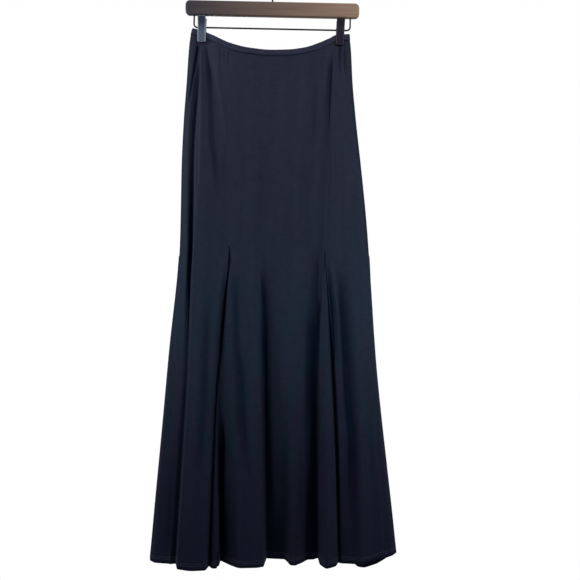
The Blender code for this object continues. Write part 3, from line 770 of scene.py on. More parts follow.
CREASES: dict[Side, tuple[Crease, ...]] = {
    Side.FRONT: (
        # Under the left clip, and beside the long fold that hangs from it
        Crease(((-155, -156), (-158, -180), (-162, -207), (-165.5, -226), (-171, -262),
                (-176, -300)), -1.3, 3.2, 3.2, 2, 60, 1.0),
        Crease(((-150.5, -158), (-153, -180), (-157, -207), (-161, -226), (-166, -262),
                (-171, -295)), 1.2, 2.4, 2.6, 20, 60),
        Crease(((-149, -185), (-154, -250), (-157, -281), (-159.5, -321), (-162, -372)), -1.2, 4,
                4.5, 40, 80, 0.26),
        Crease(((-146, -175), (-146.5, -265), (-147.5, -381), (-150, -478), (-152, -560)), 3.0, 3,
                8, 50, 150),
        Crease(((-139, -158), (-135, -190), (-131, -240), (-129, -275)), -2.8, 2, 4, 6, 80, 0.3),
        Crease(((-136, -165), (-129.6, -266), (-127.8, -319), (-124.6, -367), (-117.7, -418),
                (-111, -519)), -4.5, 3, 12, 60, 140, 0.2),
        Crease(((-116, -178), (-114, -200), (-110, -238), (-105, -274), (-98, -319), (-94, -353),
                (-88, -420)), 2.2, 5, 8, 30, 110),
        Crease(((-107.7, -165), (-105.6, -205)), -1.6, 2.4, 2.8, 4, 30),
        Crease(((-98.6, -168), (-98, -196)), -1.2, 2, 2, 3, 20),
        Crease(((-92.5, -169), (-89.5, -222)), -1.8, 2.4, 3, 4, 40),
        # Between the clips, where the waistband sags
        Crease(((-60, -172), (-55, -250)), 1.0, 8, 9, 10, 60),
        Crease(((-28, -178), (-22, -300)), -0.9, 12, 12, 10, 100),
        Crease(((34, -178), (30, -280)), -0.8, 11, 10, 10, 80),
        Crease(((79, -190), (79, -250)), -1.4, 3, 3, 10, 40),
        Crease(((87, -215), (86, -260), (81, -327), (77, -400)), -2.6, 6, 4.5, 80, 90),
        Crease(((96, -186), (97, -232)), -1.6, 3, 3, 10, 40),
        # Under the right clip
        Crease(((121, -160), (119, -200), (116.5, -250), (114.4, -303), (112.5, -445)), -5.0, 10,
                2.2, 50, 190, 0.3),
        Crease(((124, -180), (119.5, -264), (118, -304), (116, -446), (110, -560)), 1.2, 2.5, 6,
                50, 140),
        Crease(((136, -158), (135, -195), (136, -235)), -3.4, 2.0, 2.8, 4, 70),
        Crease(((145, -164), (147, -207), (152, -240)), -2.6, 2.0, 2.6, 4, 50),
        # Where the front godets start
        Crease(((-87.6, -562), (-88, -598), (-90.6, -625), (-94.6, -656), (-97.4, -686),
                (-100.4, -722), (-103.8, -767), (-109.6, -831), (-113, -876)), -1.8, 3.4, 3.4, 40,
                40, 0.9),
        Crease(((-99, -590), (-102, -625), (-106.6, -656), (-109.6, -686), (-113.6, -722),
                (-117.6, -767), (-121.6, -831), (-124.6, -870), (-125.6, -910)), 3.0, 6, 4.6, 60,
                110),
        Crease(((93, -572), (89, -613), (87, -656), (89.5, -690), (90, -713), (87, -758),
                (86, -800), (83, -850)), -4.2, 10, 3, 40, 130, 0.25),
        Crease(((88, -660), (84, -758), (83, -800), (79, -850), (78, -900), (77, -960)), -2.6, 17,
                4, 90, 110, 0.42),
        Crease(((108, -572), (111, -615), (114.5, -656), (117.5, -686), (119.5, -713), (121, -758),
                (122, -800), (122, -850)), -2.6, 3.2, 4.0, 130, 90, 0.9),
        # On the lower half
        Crease(((-173, -600), (-172, -713), (-172, -830)), 3.5, 5, 5, 110, 110),
        Crease(((-25, -590), (-21.5, -636), (-19.5, -676), (-18.2, -713), (-18.2, -767),
                (-16, -870)), -4.2, 2.8, 7.5, 95, 110, 0.25),
        Crease(((-104, -900), (-104.5, -963), (-106, -1025), (-107, -1190), (-107, -1240)), -15.0,
                3.5, 7.0, 70, 20),
        Crease(((-122, -760), (-122, -800), (-124, -910)), 2.6, 10, 10, 60, 60),
        Crease(((-130, -640), (-133, -756), (-138, -876), (-142, -960), (-153, -1040)), -3.4, 7, 6,
                110, 80, 0.22),
        Crease(((-80, -600), (-75, -652), (-72.4, -767), (-67, -820), (-64.5, -880), (-58, -950),
                (-46, -1070)), -5.6, 8, 9, 90, 130, 0.28),
        Crease(((-66, -770), (-63.5, -840), (-62.5, -910), (-60, -990)), -2.6, 13, 14, 60, 80,
                0.2),
        Crease(((-37, -770), (-30, -860), (-28, -965)), 3.2, 12, 8, 70, 80),
        Crease(((-84, -830), (-80, -930), (-78, -1030)), 2.6, 7, 9, 70, 90),
        Crease(((57, -950), (58, -1140)), -2.0, 4, 5, 60, 50),
        Crease(((114, -590), (118.5, -625), (122.6, -656), (126.6, -686), (128.8, -713),
                (130.8, -758), (131.8, -795), (133, -850)), 3.4, 2.6, 2.6, 60, 80),
        Crease(((126, -590), (132, -635), (135.4, -656), (137, -686), (139.4, -713), (141.6, -758),
                (144, -796), (148.5, -876), (156, -956), (157, -1036), (157, -1190)), -5.0, 5.5,
                9.5, 95, 200, 0.4),
        Crease(((-196, -940), (-204, -1060), (-210, -1190)), -1.2, 13, 12, 110, 40, 0.3),
        Crease(((175, -960), (174, -1018), (176, -1090)), 2.2, 8, 8, 50, 60),
        Crease(((195, -930), (197, -985), (198, -1080)), -2.4, 8, 8, 50, 60),
    ),
    Side.BACK: (
        # On the back, under the clips and between them
        Crease(((-146, -165), (-150, -290), (-152, -430)), -3.0, 7, 9, 12, 200),
        Crease(((-128, -170), (-120, -320), (-114, -450)), 2.2, 9, 9, 30, 140),
        Crease(((-104, -160), (-101, -245)), -1.7, 4, 4, 8, 70),
        Crease(((-62, -172), (-58, -270)), -1.1, 8, 9, 8, 80),
        Crease(((-8, -178), (-12, -330)), 1.2, 13, 12, 12, 120),
        Crease(((52, -176), (48, -262)), -1.2, 8, 8, 8, 70),
        Crease(((96, -165), (92, -300), (86, -400)), -2.4, 10, 9, 20, 140),
        Crease(((124, -160), (128, -290), (134, -430)), 2.2, 8, 10, 30, 150),
        Crease(((143, -158), (146, -240)), -2.3, 4, 4, 8, 70),
        Crease(((-176, -700), (-184, -860), (-196, -1050)), -2.6, 9, 9, 70, 120),
        Crease(((-30, -640), (-34, -800), (-40, -960)), 2.2, 11, 10, 80, 120),
        Crease(((30, -700), (36, -860), (40, -1010)), -2.4, 10, 10, 80, 120),
        Crease(((176, -720), (186, -900), (197, -1080)), 2.4, 9, 9, 80, 120),
    ),
}


# ------------------------ the hanger's places
class ClipPlace(NamedTuple):
    """A clip: its place along the bar and how far its foot swings to the left."""

    name: str
    x: float
    lean: float


CLIPS = (
    ClipPlace("left", -143.7, radians(-0.4)),
    ClipPlace("right", 140.0, radians(1.8)),
)


class PlatingAndPaintedLight(NamedTuple):
    """The colours of a clip's plating, with its painted light up the lever and on the raised
    border.
    """

    dark: Color
    light: Color
    lever: Color
    rim: Color


# The left clip is painted lighter and bluer than the right: a painted reflection of light from the
# left. Its lever colour is painted shade, the right clip's a painted highlight, and both border
# colours are painted highlights.
PLATINGS_AND_PAINTED_LIGHT = {
    "left": PlatingAndPaintedLight((0.026, 0.034, 0.050), (0.058, 0.076, 0.100), (0.020, 0.026, 0.041),
                    (0.11, 0.13, 0.16)),
    "right": PlatingAndPaintedLight((0.0068, 0.0058, 0.0100), (0.0155, 0.0125, 0.0205),
                     (0.0150, 0.0125, 0.0205), (0.026, 0.024, 0.034)),
}


@dataclass(frozen=True)
class HangerSizes:
    """Sizes of the hanger, and the places on it that the skirt depends on."""

    tilt: float = radians(1.2)
    bar_length: float = 356.0
    bar_height: float = 30.0
    bar_thickness: float = 12.0
    bar_top: float = -66.0
    bore_depth: float = 12.0
    hook_wire: float = 3.6
    hook_radius: float = 21.8
    hook_tip_angle: float = radians(205)
    hook_start_angle: float = radians(-35)
    hook_neck: float = 9.0
    hook_neck_bend: float = 11.0
    rail_wire: float = 3.4
    rail_half_width: float = 160.0
    rail_drop: float = 24.5
    rail_bend: float = 7.0
    clip_width: float = 17.0
    clip_sheet: float = 1.2
    clip_lever_height: float = 22.5
    clip_lever_spread: float = 8.5
    clip_jaw_drop: float = 31.0
    clip_lip: float = 0.9
    clip_toe: float = 3.0
    spring_radius: float = 3.5
    spring_length: float = 9.0
    jaw_gap: float = 3.7  # from the hanger's plane to the inner face of a jaw

    @property
    def rail_height(self) -> float:
        """Height of the wire that carries the clips, before the hanger tilts."""
        return self.bar_top - self.bar_height - self.rail_drop

    @property
    def tilted(self) -> Matrix:
        """The turn of the whole hanger about the seat of its hook."""
        return Matrix.Rotation(self.tilt, 4, "Y")

    def clip_frame(self, clip: ClipPlace) -> Matrix:
        """The place and turn of a clip: its origin on the wire, +Z up its levers."""
        on_rail = Matrix.Translation((clip.x, 0, self.rail_height))
        return self.tilted @ on_rail @ Matrix.Rotation(clip.lean, 4, "Y")

    def clip_foot(self, clip: ClipPlace) -> Vector:
        """The lower end of a clip's jaws."""
        return self.clip_frame(clip) @ Vector((0, 0, -self.clip_jaw_drop))


# ------------------------ making meshes
Pieces = list[bpy.types.Object]
DOME_START = 0.05  # radians from the pole of a wire's domed end to its first ring
DOME_RINGS = 4


class Workshop:
    """Makes mesh objects and hands them to the frame."""

    @staticmethod
    def finish_piece(mesh: bmesh.types.BMesh, name: str, material: bpy.types.Material,
                     slot: Slot, replaced: Sequence[str] = (), smooth_angle: float | None = None
                     ) -> bpy.types.Object:
        """Turn a bmesh in millimetres into a piece that rides on the body.

        Args:
            mesh: the shape, which is freed.
            name: the piece's name.
            material: its finish.
            slot: the record's slot for that finish; not used.
            replaced: the CAD nodes that it stands for.
            smooth_angle: the angle over which an edge stays sharp, or None for none.

        Returns:
            The new object.
        """
        mesh.transform(Matrix.Scale(MM, 4))
        data = bpy.data.meshes.new(name)
        mesh.to_mesh(data)
        mesh.free()
        data.shade_smooth()
        if smooth_angle is not None:
            data.set_sharp_from_angle(angle=smooth_angle)
        data.materials.append(material)
        piece = bpy.data.objects.new(name, data)
        bpy.context.scene.collection.objects.link(piece)
        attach(piece, BODY)
        if replaced:
            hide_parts(*replaced)
        return piece

    @staticmethod
    def sheet_mesh(points: np.ndarray, across: np.ndarray, down: np.ndarray,
                   marks: dict[str, np.ndarray]) -> bmesh.types.BMesh:
        """A grid laid on points.

        Args:
            points: (rows, columns, 3), the rows from the top down, the columns running so
                that the outer face is on the viewer's side when they go to the right.
            across: the first texture coordinate of every point, in metres.
            down: the second.
            marks: numbers to store on the points, by name.

        Returns:
            The sheet, with its doubled points merged.
        """
        rows, columns = points.shape[:2]
        mesh = bmesh.new()
        uv = mesh.loops.layers.uv.new("UVMap")
        layers = {name: mesh.verts.layers.float.new(name) for name in marks}
        bmesh.ops.create_grid(mesh, x_segments=columns - 1, y_segments=rows - 1, size=1.0)
        place: dict[int, tuple[int, int]] = {}
        for vert in mesh.verts:
            column = round((vert.co.x + 1) / 2 * (columns - 1))
            row = round((1 - vert.co.y) / 2 * (rows - 1))
            place[vert.index] = (row, column)
        for vert in mesh.verts:
            spot = place[vert.index]
            vert.co = points[spot]
            for name, layer in layers.items():
                vert[layer] = float(marks[name][spot])
        for face in mesh.faces:
            for loop in face.loops:
                spot = place[loop.vert.index]
                loop[uv].uv = (across[spot], down[spot])
        bmesh.ops.remove_doubles(mesh, verts=mesh.verts, dist=MERGE_DISTANCE)
        return mesh

    @staticmethod
    def thicken(piece: bpy.types.Object, thickness: float) -> None:
        """Give a sheet its thickness, on the inner side of its points.

        Args:
            piece: the sheet.
            thickness: in millimetres.
        """
        wall = piece.modifiers.new("cloth", "SOLIDIFY")
        wall.thickness = thickness * MM
        wall.offset = -1.0
        wall.use_even_offset = False

    @staticmethod
    def stamped(template: bmesh.types.BMesh, places: Sequence[Matrix]) -> bmesh.types.BMesh:
        """Many copies of one small shape, joined.

        Args:
            template: the shape, which is freed.
            places: where each copy goes.

        Returns:
            The joined mesh.
        """
        shape = bpy.data.meshes.new("stamp")
        template.to_mesh(shape)
        template.free()
        mesh = bmesh.new()
        for place in places:
            stamp = shape.copy()
            stamp.transform(place)
            mesh.from_mesh(stamp)
            bpy.data.meshes.remove(stamp)
        bpy.data.meshes.remove(shape)
        return mesh

    @staticmethod
    def wire(points: Sequence[Vector], radius: float, sides: int = 16) -> bmesh.types.BMesh:
        """A round wire through points, with domed ends.

        Args:
            points: its middle line.
            radius: half its thickness.
            sides: how many sides its section has.

        Returns:
            The wire as one closed shape.
        """
        turns = np.linspace(DOME_START, pi / 2, DOME_RINGS + 1)[:-1]
        dome = [(1 - cos(a), sin(a)) for a in turns]
        path = [Vector(p) for p in points]
        first, last = (path[1] - path[0]).normalized(), (path[-1] - path[-2]).normalized()
        stations = [(path[0] - first * radius * (1 - d), radius * r) for d, r in dome]
        stations += [(p, radius) for p in path]
        stations += [(path[-1] + last * radius * (1 - d), radius * r) for d, r in reversed(dome)]
        mesh = bmesh.new()
        side = first.orthogonal().normalized()
        rings = []
        for i, (center, size) in enumerate(stations):
            before, after = stations[max(i - 1, 0)][0], stations[min(i + 1, len(stations) - 1)][0]
            along = (after - before).normalized()
            side = (side - along * side.dot(along)).normalized()
            turn = Matrix((side, along.cross(side), along)).transposed().to_4x4()
            made = bmesh.ops.create_circle(mesh, segments=sides, radius=size,
                                           matrix=Matrix.Translation(center) @ turn)
            rings.append(made["verts"])
        edges = [list(dict.fromkeys(e for v in ring for e in v.link_edges)) for ring in rings]
        for upper, lower in zip(edges, edges[1:]):
            bmesh.ops.bridge_loops(mesh, edges=upper + lower)
        bmesh.ops.holes_fill(mesh, edges=[e for e in mesh.edges if e.is_boundary], sides=0)
        bmesh.ops.recalc_face_normals(mesh, faces=mesh.faces)
        return mesh


# ------------------------ the form of the skirt
@dataclass
class SkirtForm:
    """The shape of the hanging skirt: rows of points all round it, from the waist to the hem."""

    hanger: HangerSizes
    # The rows and columns of points
    row_step: float = 8.0
    least_step: float = 0.35  # of row_step, between an even row and a fixed one
    column_step: float = 2.6
    hem_rows: tuple[float, ...] = (1.5, 3.5, 5.5, 7.0, 8.4, 9.8, 11.2, 12.6, 14.0, 16.0, 18.0, 21.0)
    waist_rows: tuple[float, ...] = (0.9, 2.0, 5.0)
    tip_search: tuple[float, float, int] = (0.3, 0.7, 2001)  # from, to, and how many tries
    settling_rounds: int = 5
    # The tube and the waistband
    usual_length: float = 1060.0
    tube_flatness: float = 3
    band_height: float = 13.0
    seam_gap: float = 0.3
    tucked_cloth: float = 2.6  # how far the cloth reaches up into the waistband
    # What the clips hold
    held_cloth: float = 1.9
    pinch_width: float = 22.0
    pinch_reach: float = 12.0
    pinch_fall: float = 55.0
    # The turns at the lines
    tuck_place: float = 0.58  # of the way from a line's top to the knee
    roundness: float = 1.6
    side_tightness: float = 0.7  # how much tighter a turn at the very side is at the waist
    span_used: float = 0.48
    wide_turn: float = 9.0  # from which a turn has the second number of points
    turn_points: tuple[int, int] = (9, 13)
    turn_closeness: float = 0.4
    seam_points: int = 6
    seam_closeness: float = 1.3
    # What is laid on the form
    direction_reach: float = 1.3
    seam_depth: float = 0.05
    seam_reach: float = 2.2
    crease_facing: float = 0.15  # least part of the outward direction that faces a crease's side
    crease_nearness: float = 0.02  # how much the outermost layer is preferred
    # how much narrower a crease's core of painted shade is than its rise
    core_narrowness: float = 1.2
    broad_wave: Triple = (46, 46, 330)
    fine_wave: Triple = (15, 15, 170)
    fine_phase: float = 9
    broad_rise: float = 0.9
    fine_rise: float = 0.3
    calm: tuple[float, float] = (60, 0.15)  # how far below the band it is full, and its least
    # What is painted on the cloth's finish: painted shade under the band, along the hem's edge and
    # in folds
    tuck_width: float = 1.3
    tuck_shade: float = 0.7
    rim_height: float = 4.2
    rim_shade: float = 0.5
    fold_neighbours: int = 45
    own_cloth: float = 1.0  # nearer than this, cloth does not shade its neighbour
    tube: dict[str, SmoothCurve] = field(init=False)
    shares: np.ndarray = field(init=False)

    def __post_init__(self) -> None:
        """Build every point of the skirt."""
        self.tube = {name: SmoothCurve((s.z, getattr(s, name)) for s in SECTIONS)
                     for name in ("left", "right", "front", "back")}
        self.waist_edge = SmoothCurve(WAIST_EDGE)
        self.hem_edges = {1: SmoothCurve(HEM_FRONT), -1: SmoothCurve(HEM_BACK)}
        self.lines = [(p, line) for p, panel in enumerate(PANELS)
                      for line in (panel.seam, *panel.folds)]
        self.first_line = [next(i for i, (p, _) in enumerate(self.lines) if p == q)
                           for q in range(len(PANELS))]
        self._set_rows()
        self._set_corners()
        self.columns = [self._panel_columns(p) for p in range(len(PANELS))]
        self._settle()

    # -- reading the tables
    def side_to_side(self, z: Any, share: Any) -> np.ndarray:
        """X of a share of the width at a height."""
        left, right = self.tube["left"](z), self.tube["right"](z)
        return left + share * (right - left)

    def plain_depth(self, z: Any, share: Any, facing: int) -> np.ndarray:
        """How far the plain tube stands in front of the hanger's plane, or behind it."""
        middle = self.tube["front" if facing > 0 else "back"](z)
        return facing * middle * (1 - np.abs(2 * np.asarray(share) - 1) ** self.tube_flatness)

    def waist_seam(self, x: Any) -> np.ndarray:
        """Height of the seam under the waistband."""
        return self.waist_edge(x) - self.band_height

    @staticmethod
    def levels(line: Line, count: int) -> tuple[float, ...]:
        """The heights that the last few values of a line belong to."""
        return (CLIP_LEVEL, HIP_LEVEL, line.top, KNEE_LEVEL, HEM_LEVEL)[-count:]

    def place(self, line: Line, seam: Line) -> SmoothCurve:
        """The share of the width that a line keeps to, by height; a godet's start at its tip.

        Args:
            line: the line.
            seam: the first seam of its piece, where a godet's folds start.

        Returns:
            The share as a curve over height.
        """
        knots = list(zip(self.levels(line, len(line.across)), line.across))
        if len(knots) < LOWER_LEVELS:
            knots.insert(0, (seam.top, seam.across[-LOWER_LEVELS]))
        return SmoothCurve((z, percent / 100) for z, percent in knots)

    def path(self, number: int, shares: np.ndarray) -> np.ndarray:
        """The points of a line at shares of the way from the waist seam to the hem.

        Args:
            number: the line's place in the list of lines.
            shares: where to read it.

        Returns:
            An array of points.
        """
        owner, line = self.lines[number]
        seam, next_seam = PANELS[owner].seam, PANELS[(owner + 1) % len(PANELS)].seam
        place, own, following = (self.place(s, seam if s is line else s)
                                 for s in (line, seam, next_seam))
        facing = int(np.sign(line.depth[-1]))
        start, start_share = place.x[-1], place.y[-1]
        keeps = len(line.across) == LOWER_LEVELS
        kept = 0.0
        if keeps:
            kept = (start_share - own(start)) / (following(start) - own(start))

        def share_at(z: np.ndarray) -> np.ndarray:
            """Share of the width; above its start a gore's fold keeps its place.

            Args:
                z: heights.

            Returns:
                The share at every height.
            """
            if not keeps:
                return place(z)
            above = own(z) + (following(z) - own(z)) * kept
            return np.where(z > start, above, place(z))

        z = np.full(len(shares), HIP_LEVEL)
        for _ in range(self.settling_rounds):
            share = share_at(z)
            top = self.waist_seam(self.side_to_side(CLIP_LEVEL, share)) - self.seam_gap
            hem = self.hem_edges[-1 if facing < 0 else 1](share * 100)
            z = top + shares * (hem - top)
        share = share_at(z)
        stand = [(start, 0.0)] if len(line.depth) < ALL_LEVELS else []
        for level, depth in zip(self.levels(line, len(line.depth)), line.depth):
            stand.append((level, depth - float(self.plain_depth(level, place(level), facing))))
        if line.tuck:
            halfway = line.top + (KNEE_LEVEL - line.top) * self.tuck_place
            stand.append((halfway, float(SmoothCurve(stand)(halfway)) - line.tuck * facing))
        depth = self.plain_depth(z, share, facing) + SmoothCurve(stand)(z)
        return np.stack([self.side_to_side(z, share), -depth, z], axis=-1)

    # -- laying out the rows
    def _set_rows(self) -> None:
        """Choose the rows: even ones, more of them at the waist and hem, one at each tip."""
        tries = np.linspace(*self.tip_search)
        self.tips: dict[int, float] = {}
        for p, panel in enumerate(PANELS):
            if panel.is_godet:
                heights = self.path(self.first_line[p], tries)[:, 2]
                self.tips[p] = float(np.interp(-panel.seam.top, -heights, tries))
        fixed = sorted({*self.tips.values(), 0.0, 1.0,
                        *(1 - h / self.usual_length for h in self.hem_rows),
                        *(h / self.usual_length for h in self.waist_rows)})
        count = ceil(self.usual_length / self.row_step)
        least = self.least_step * self.row_step / self.usual_length
        rows = list(fixed)
        for share in np.linspace(0, 1, count + 1):
            in_hem = share > 1 - self.hem_rows[-1] / self.usual_length
            if not in_hem and min(abs(share - f) for f in fixed) > least:
                rows.append(float(share))
        self.shares = np.array(sorted(rows))

    def _set_corners(self) -> None:
        """Place every line's corner on every row, and find its neighbours there."""
        self.corners = [self.path(i, self.shares) for i in range(len(self.lines))]
        self.present = [self.shares >= self.tips.get(p, -1.0) - TINY for p, _ in self.lines]
        self.arms = []
        for i in range(len(self.lines)):
            arms = []
            for step in (-1, 1):
                arm = self._neighbour(i, step) - self.corners[i]
                length = np.linalg.norm(arm, axis=1, keepdims=True)
                arms += [arm / np.maximum(length, COINCIDENT), length[:, 0]]
            self.arms.append(arms)

    def _neighbour(self, number: int, step: int) -> np.ndarray:
        """The nearest corner before or after a line that is there on each row.

        Args:
            number: the line's place in the list of lines.
            step: -1 for the one before it, or 1.

        Returns:
            A point for each row.
        """
        count = len(self.lines)
        other = (number + step) % count
        found = self.corners[other].copy()
        missing = ~self.present[other]
        while missing.any():
            other = (other + step) % count
            found[missing] = self.corners[other][missing]
            missing &= ~self.present[other]
        return found

    def _reach(self, number: int) -> np.ndarray:
        """How far the turn of a line reaches on each row.

        Args:
            number: the line's place in the list of lines.

        Returns:
            A length for each row.
        """
        _, line = self.lines[number]
        _, back, _, ahead = self.arms[number]
        at_side = self._at_side(number)
        softness = 1 - at_side * self.side_tightness * (1 - self.shares)
        turn = line.turn * self.roundness * softness
        return np.minimum(turn, self.span_used * np.minimum(back, ahead))

    def _at_side(self, number: int) -> np.ndarray:
        """1 on the rows where a line lies on the very side of the skirt, 0 away from it.

        Args:
            number: the line's place in the list of lines.

        Returns:
            A number for each row.
        """
        _, line = self.lines[number]
        if line.top != SIDE_GODET_LEVEL and any(line.depth):
            return np.zeros(len(self.shares))
        return np.clip(1 - np.abs(self.corners[number][:, 1]), 0, 1)

    def _turn(self, number: int, where: Sequence[float]) -> np.ndarray:
        """Points of the rounded turn at a line.

        Args:
            number: the line.
            where: places from -1, where the turn starts, through 0, its middle, to 1.

        Returns:
            Points as (rows, places, 3).
        """
        back, _, ahead, _ = self.arms[number]
        u = np.array(where)
        reach = self._reach(number)[:, None, None]

        def part(v: np.ndarray) -> np.ndarray:
            """How far along one side the turn has come; its curvature grows and fades softly."""
            return ((v + 1) ** 2 / 4 - (1 + np.cos(pi * v)) / (2 * pi ** 2))[None, :, None]

        corner = self.corners[number][:, None, :]
        points = corner + back[:, None, :] * reach * part(-u) + ahead[:, None, :] * reach * part(u)
        middle = corner + (back + ahead)[:, None, :] * reach * part(np.zeros(1))
        pull = (1 - np.abs(u))[None, :, None] ** 2 * self._at_side(number)[:, None, None]
        return points + (corner - middle) * pull

    def _places(self, number: int) -> np.ndarray:
        """Places on a turn at which it has points, closer together in its middle.

        Args:
            number: the line's place in the list of lines.

        Returns:
            Places from -1 to 1.
        """
        _, line = self.lines[number]
        steps = np.linspace(-1, 1, self.turn_points[line.turn >= self.wide_turn])
        return steps * (1 - self.turn_closeness * (1 - np.abs(steps)))

    def _seam_side(self, p: int, places: np.ndarray) -> np.ndarray:
        """Part of the turn at a panel's first seam, or at the next one's where it is not there.

        Args:
            p: the panel's place in the list of panels.
            places: places on the turn, from -1 to 1.

        Returns:
            Points as (rows, places, 3).
        """
        first = self._turn(self.first_line[p], places)
        if not PANELS[p].is_godet:
            return first
        there = self.present[self.first_line[p]][:, None, None]
        following = (p + 1) % len(PANELS)
        return np.where(there, first, self._turn(self.first_line[following], places))

    def _panel_columns(self, p: int) -> np.ndarray:
        """The points of one panel on every row, from its first seam to its second.

        Args:
            p: the panel's place in the list of panels.

        Returns:
            Points as (rows, columns, 3).
        """
        half = np.linspace(0, 1, self.seam_points) ** self.seam_closeness
        numbers = [i for i, (owner, _) in enumerate(self.lines) if owner == p][1:]
        blocks = [self._turn(self.first_line[p], half)]
        blocks += [self._turn(i, self._places(i)) for i in numbers]
        blocks.append(self._seam_side((p + 1) % len(PANELS), -half[::-1]))
        there = self.present[self.first_line[p]]
        columns = [blocks[0]]
        for before, after in zip(blocks, blocks[1:]):
            start, end = before[:, -1], after[:, 0]
            span = np.linalg.norm(end - start, axis=1)[there].max()
            steps = max(1, ceil(span / self.column_step))
            for k in range(1, steps):
                columns.append((start + (end - start) * k / steps)[:, None, :])
            columns.append(after)
        points = np.concatenate(columns, axis=1)
        if PANELS[p].is_godet:
            seam = self._seam_side(p, np.zeros(1))
            points = np.where(there[:, None, None], points, seam)
        return points

    # -- finishing the ring
    def _settle(self) -> None:
        """Join the panels, press the cloth in the clips, and lay the fine shapes on it."""
        ring = np.concatenate(self.columns, axis=1)
        ends = np.cumsum([c.shape[1] for c in self.columns])
        self.spans = [slice(e - c.shape[1], e) for e, c in zip(ends, self.columns)]
        ring[0, :, 2] = self.waist_seam(ring[0, :, 0]) - self.seam_gap
        ring = self.pinched(self._clear_at_side(ring), self.held_cloth)
        self._measure(ring)
        marks, rise = self._seam_marks()
        creases, pressed = self._creases(ring)
        rise = rise + creases + self._drape(ring)
        self.ring = ring + self.outward * rise[..., None]
        self.ring[0, :, 2] += self.tucked_cloth
        self._measure(self.ring)
        # Painted shade: a dark line just under the band, a darker rim along the hem's edge, and the
        # cloth enclosed in folds
        below = self.waist_seam(self.ring[..., 0]) - self.ring[..., 2]
        painted_edge_shade = self.tuck_shade * np.exp(-(np.maximum(0, below) / self.tuck_width) ** 2)
        to_edge = (self.ring[..., 2] - self.ring[-1, :, 2]) / self.rim_height
        painted_edge_shade = np.maximum(painted_edge_shade, self.rim_shade * np.exp(-np.maximum(0, to_edge) ** 4))
        painted_shade = np.maximum(self._enclosed(), painted_edge_shade)
        # The fold mark carries all of this painted shade, with that of the creases' cores
        self.marks = {"seam": marks, "fold": 1 - (1 - painted_shade) * (1 - pressed)}

    def _clear_at_side(self, points: np.ndarray) -> np.ndarray:
        """Keep room for the walls beside the very side, where the tube is nearly flat.

        Args:
            points: points of the cloth.

        Returns:
            The points, moved away from the middle where they were too near.
        """
        x, y, z = points[..., 0], points[..., 1], points[..., 2]
        room = np.minimum(x - self.tube["left"](z), self.tube["right"](z) - x)
        room = np.clip(room, 0, self.held_cloth)
        least = np.sqrt(self.held_cloth ** 2 - (self.held_cloth - room) ** 2)
        sign = np.where(y > 0, 1.0, -1.0)
        kept = points.copy()
        kept[..., 1] = sign * np.maximum(np.abs(y), least)
        return kept

    def pinched(self, points: np.ndarray, held: float) -> np.ndarray:
        """Press points between the jaws of the clips, to a least distance from the middle.

        Args:
            points: points of the cloth.
            held: the least distance.

        Returns:
            The points, pressed.
        """
        x, y, z = points[..., 0], points[..., 1], points[..., 2]
        firmness = np.zeros(x.shape)
        for clip in CLIPS:
            foot = self.hanger.clip_foot(clip)
            beside = np.maximum(0.0, np.abs(x - foot.x) - self.pinch_width / 2)
            along = np.exp(-(beside / self.pinch_reach) ** 2)
            down = np.exp(np.minimum(0.0, z - foot.z) / self.pinch_fall)
            firmness = np.maximum(firmness, along * down)
        flat = np.where(y > 0, held, -held)
        pressed = points.copy()
        pressed[..., 1] = np.where(np.abs(y) > held, y + firmness * (flat - y), y)
        return pressed

    def _measure(self, ring: np.ndarray) -> None:
        """Measure the ring: the length round it at every point, and its outward directions.

        Args:
            ring: (rows, columns, 3), all round the skirt.
        """
        closed = np.concatenate([ring, ring[:, :1]], axis=1)
        self.around = run_length(closed, 1)
        self.girth = self.around[:, -1]
        reach = self.direction_reach
        along = np.empty_like(ring)
        for r in range(len(ring)):
            s, total = self.around[r], self.girth[r]
            for axis in range(3):
                ahead = np.interp((s[:-1] + reach) % total, s, closed[r, :, axis])
                behind = np.interp((s[:-1] - reach) % total, s, closed[r, :, axis])
                along[r, :, axis] = ahead - behind
        self.around = self.around[:, :-1]
        down = np.gradient(ring, axis=0)
        outward = np.cross(down, along)
        self.outward = outward / np.maximum(np.linalg.norm(outward, axis=2, keepdims=True), TINY)

    def _apart(self, origin: np.ndarray) -> np.ndarray:
        """Signed distance round the ring of every point from one place on each row.

        Args:
            origin: the length round the ring at that place, for each row.

        Returns:
            A distance for every point.
        """
        gap = self.around - origin[:, None]
        girth = self.girth[:, None]
        return (gap + girth / 2) % girth - girth / 2

    def _seam_marks(self) -> tuple[np.ndarray, np.ndarray]:
        """How near every point is to a seam, from 0 to 1, which the cloth's colour turns into a
        painted highlight, and how far it sinks there.

        Returns:
            The nearness and the rise, less than zero, of every point.
        """
        mark = np.zeros(self.around.shape)
        for p, span in enumerate(self.spans):
            there = self.present[self.first_line[p]]
            apart = self._apart(self.around[:, span.start])
            near = np.exp(-(apart / self.seam_reach) ** 2) * there[:, None]
            mark = np.maximum(mark, near)
        return mark, -self.seam_depth * mark

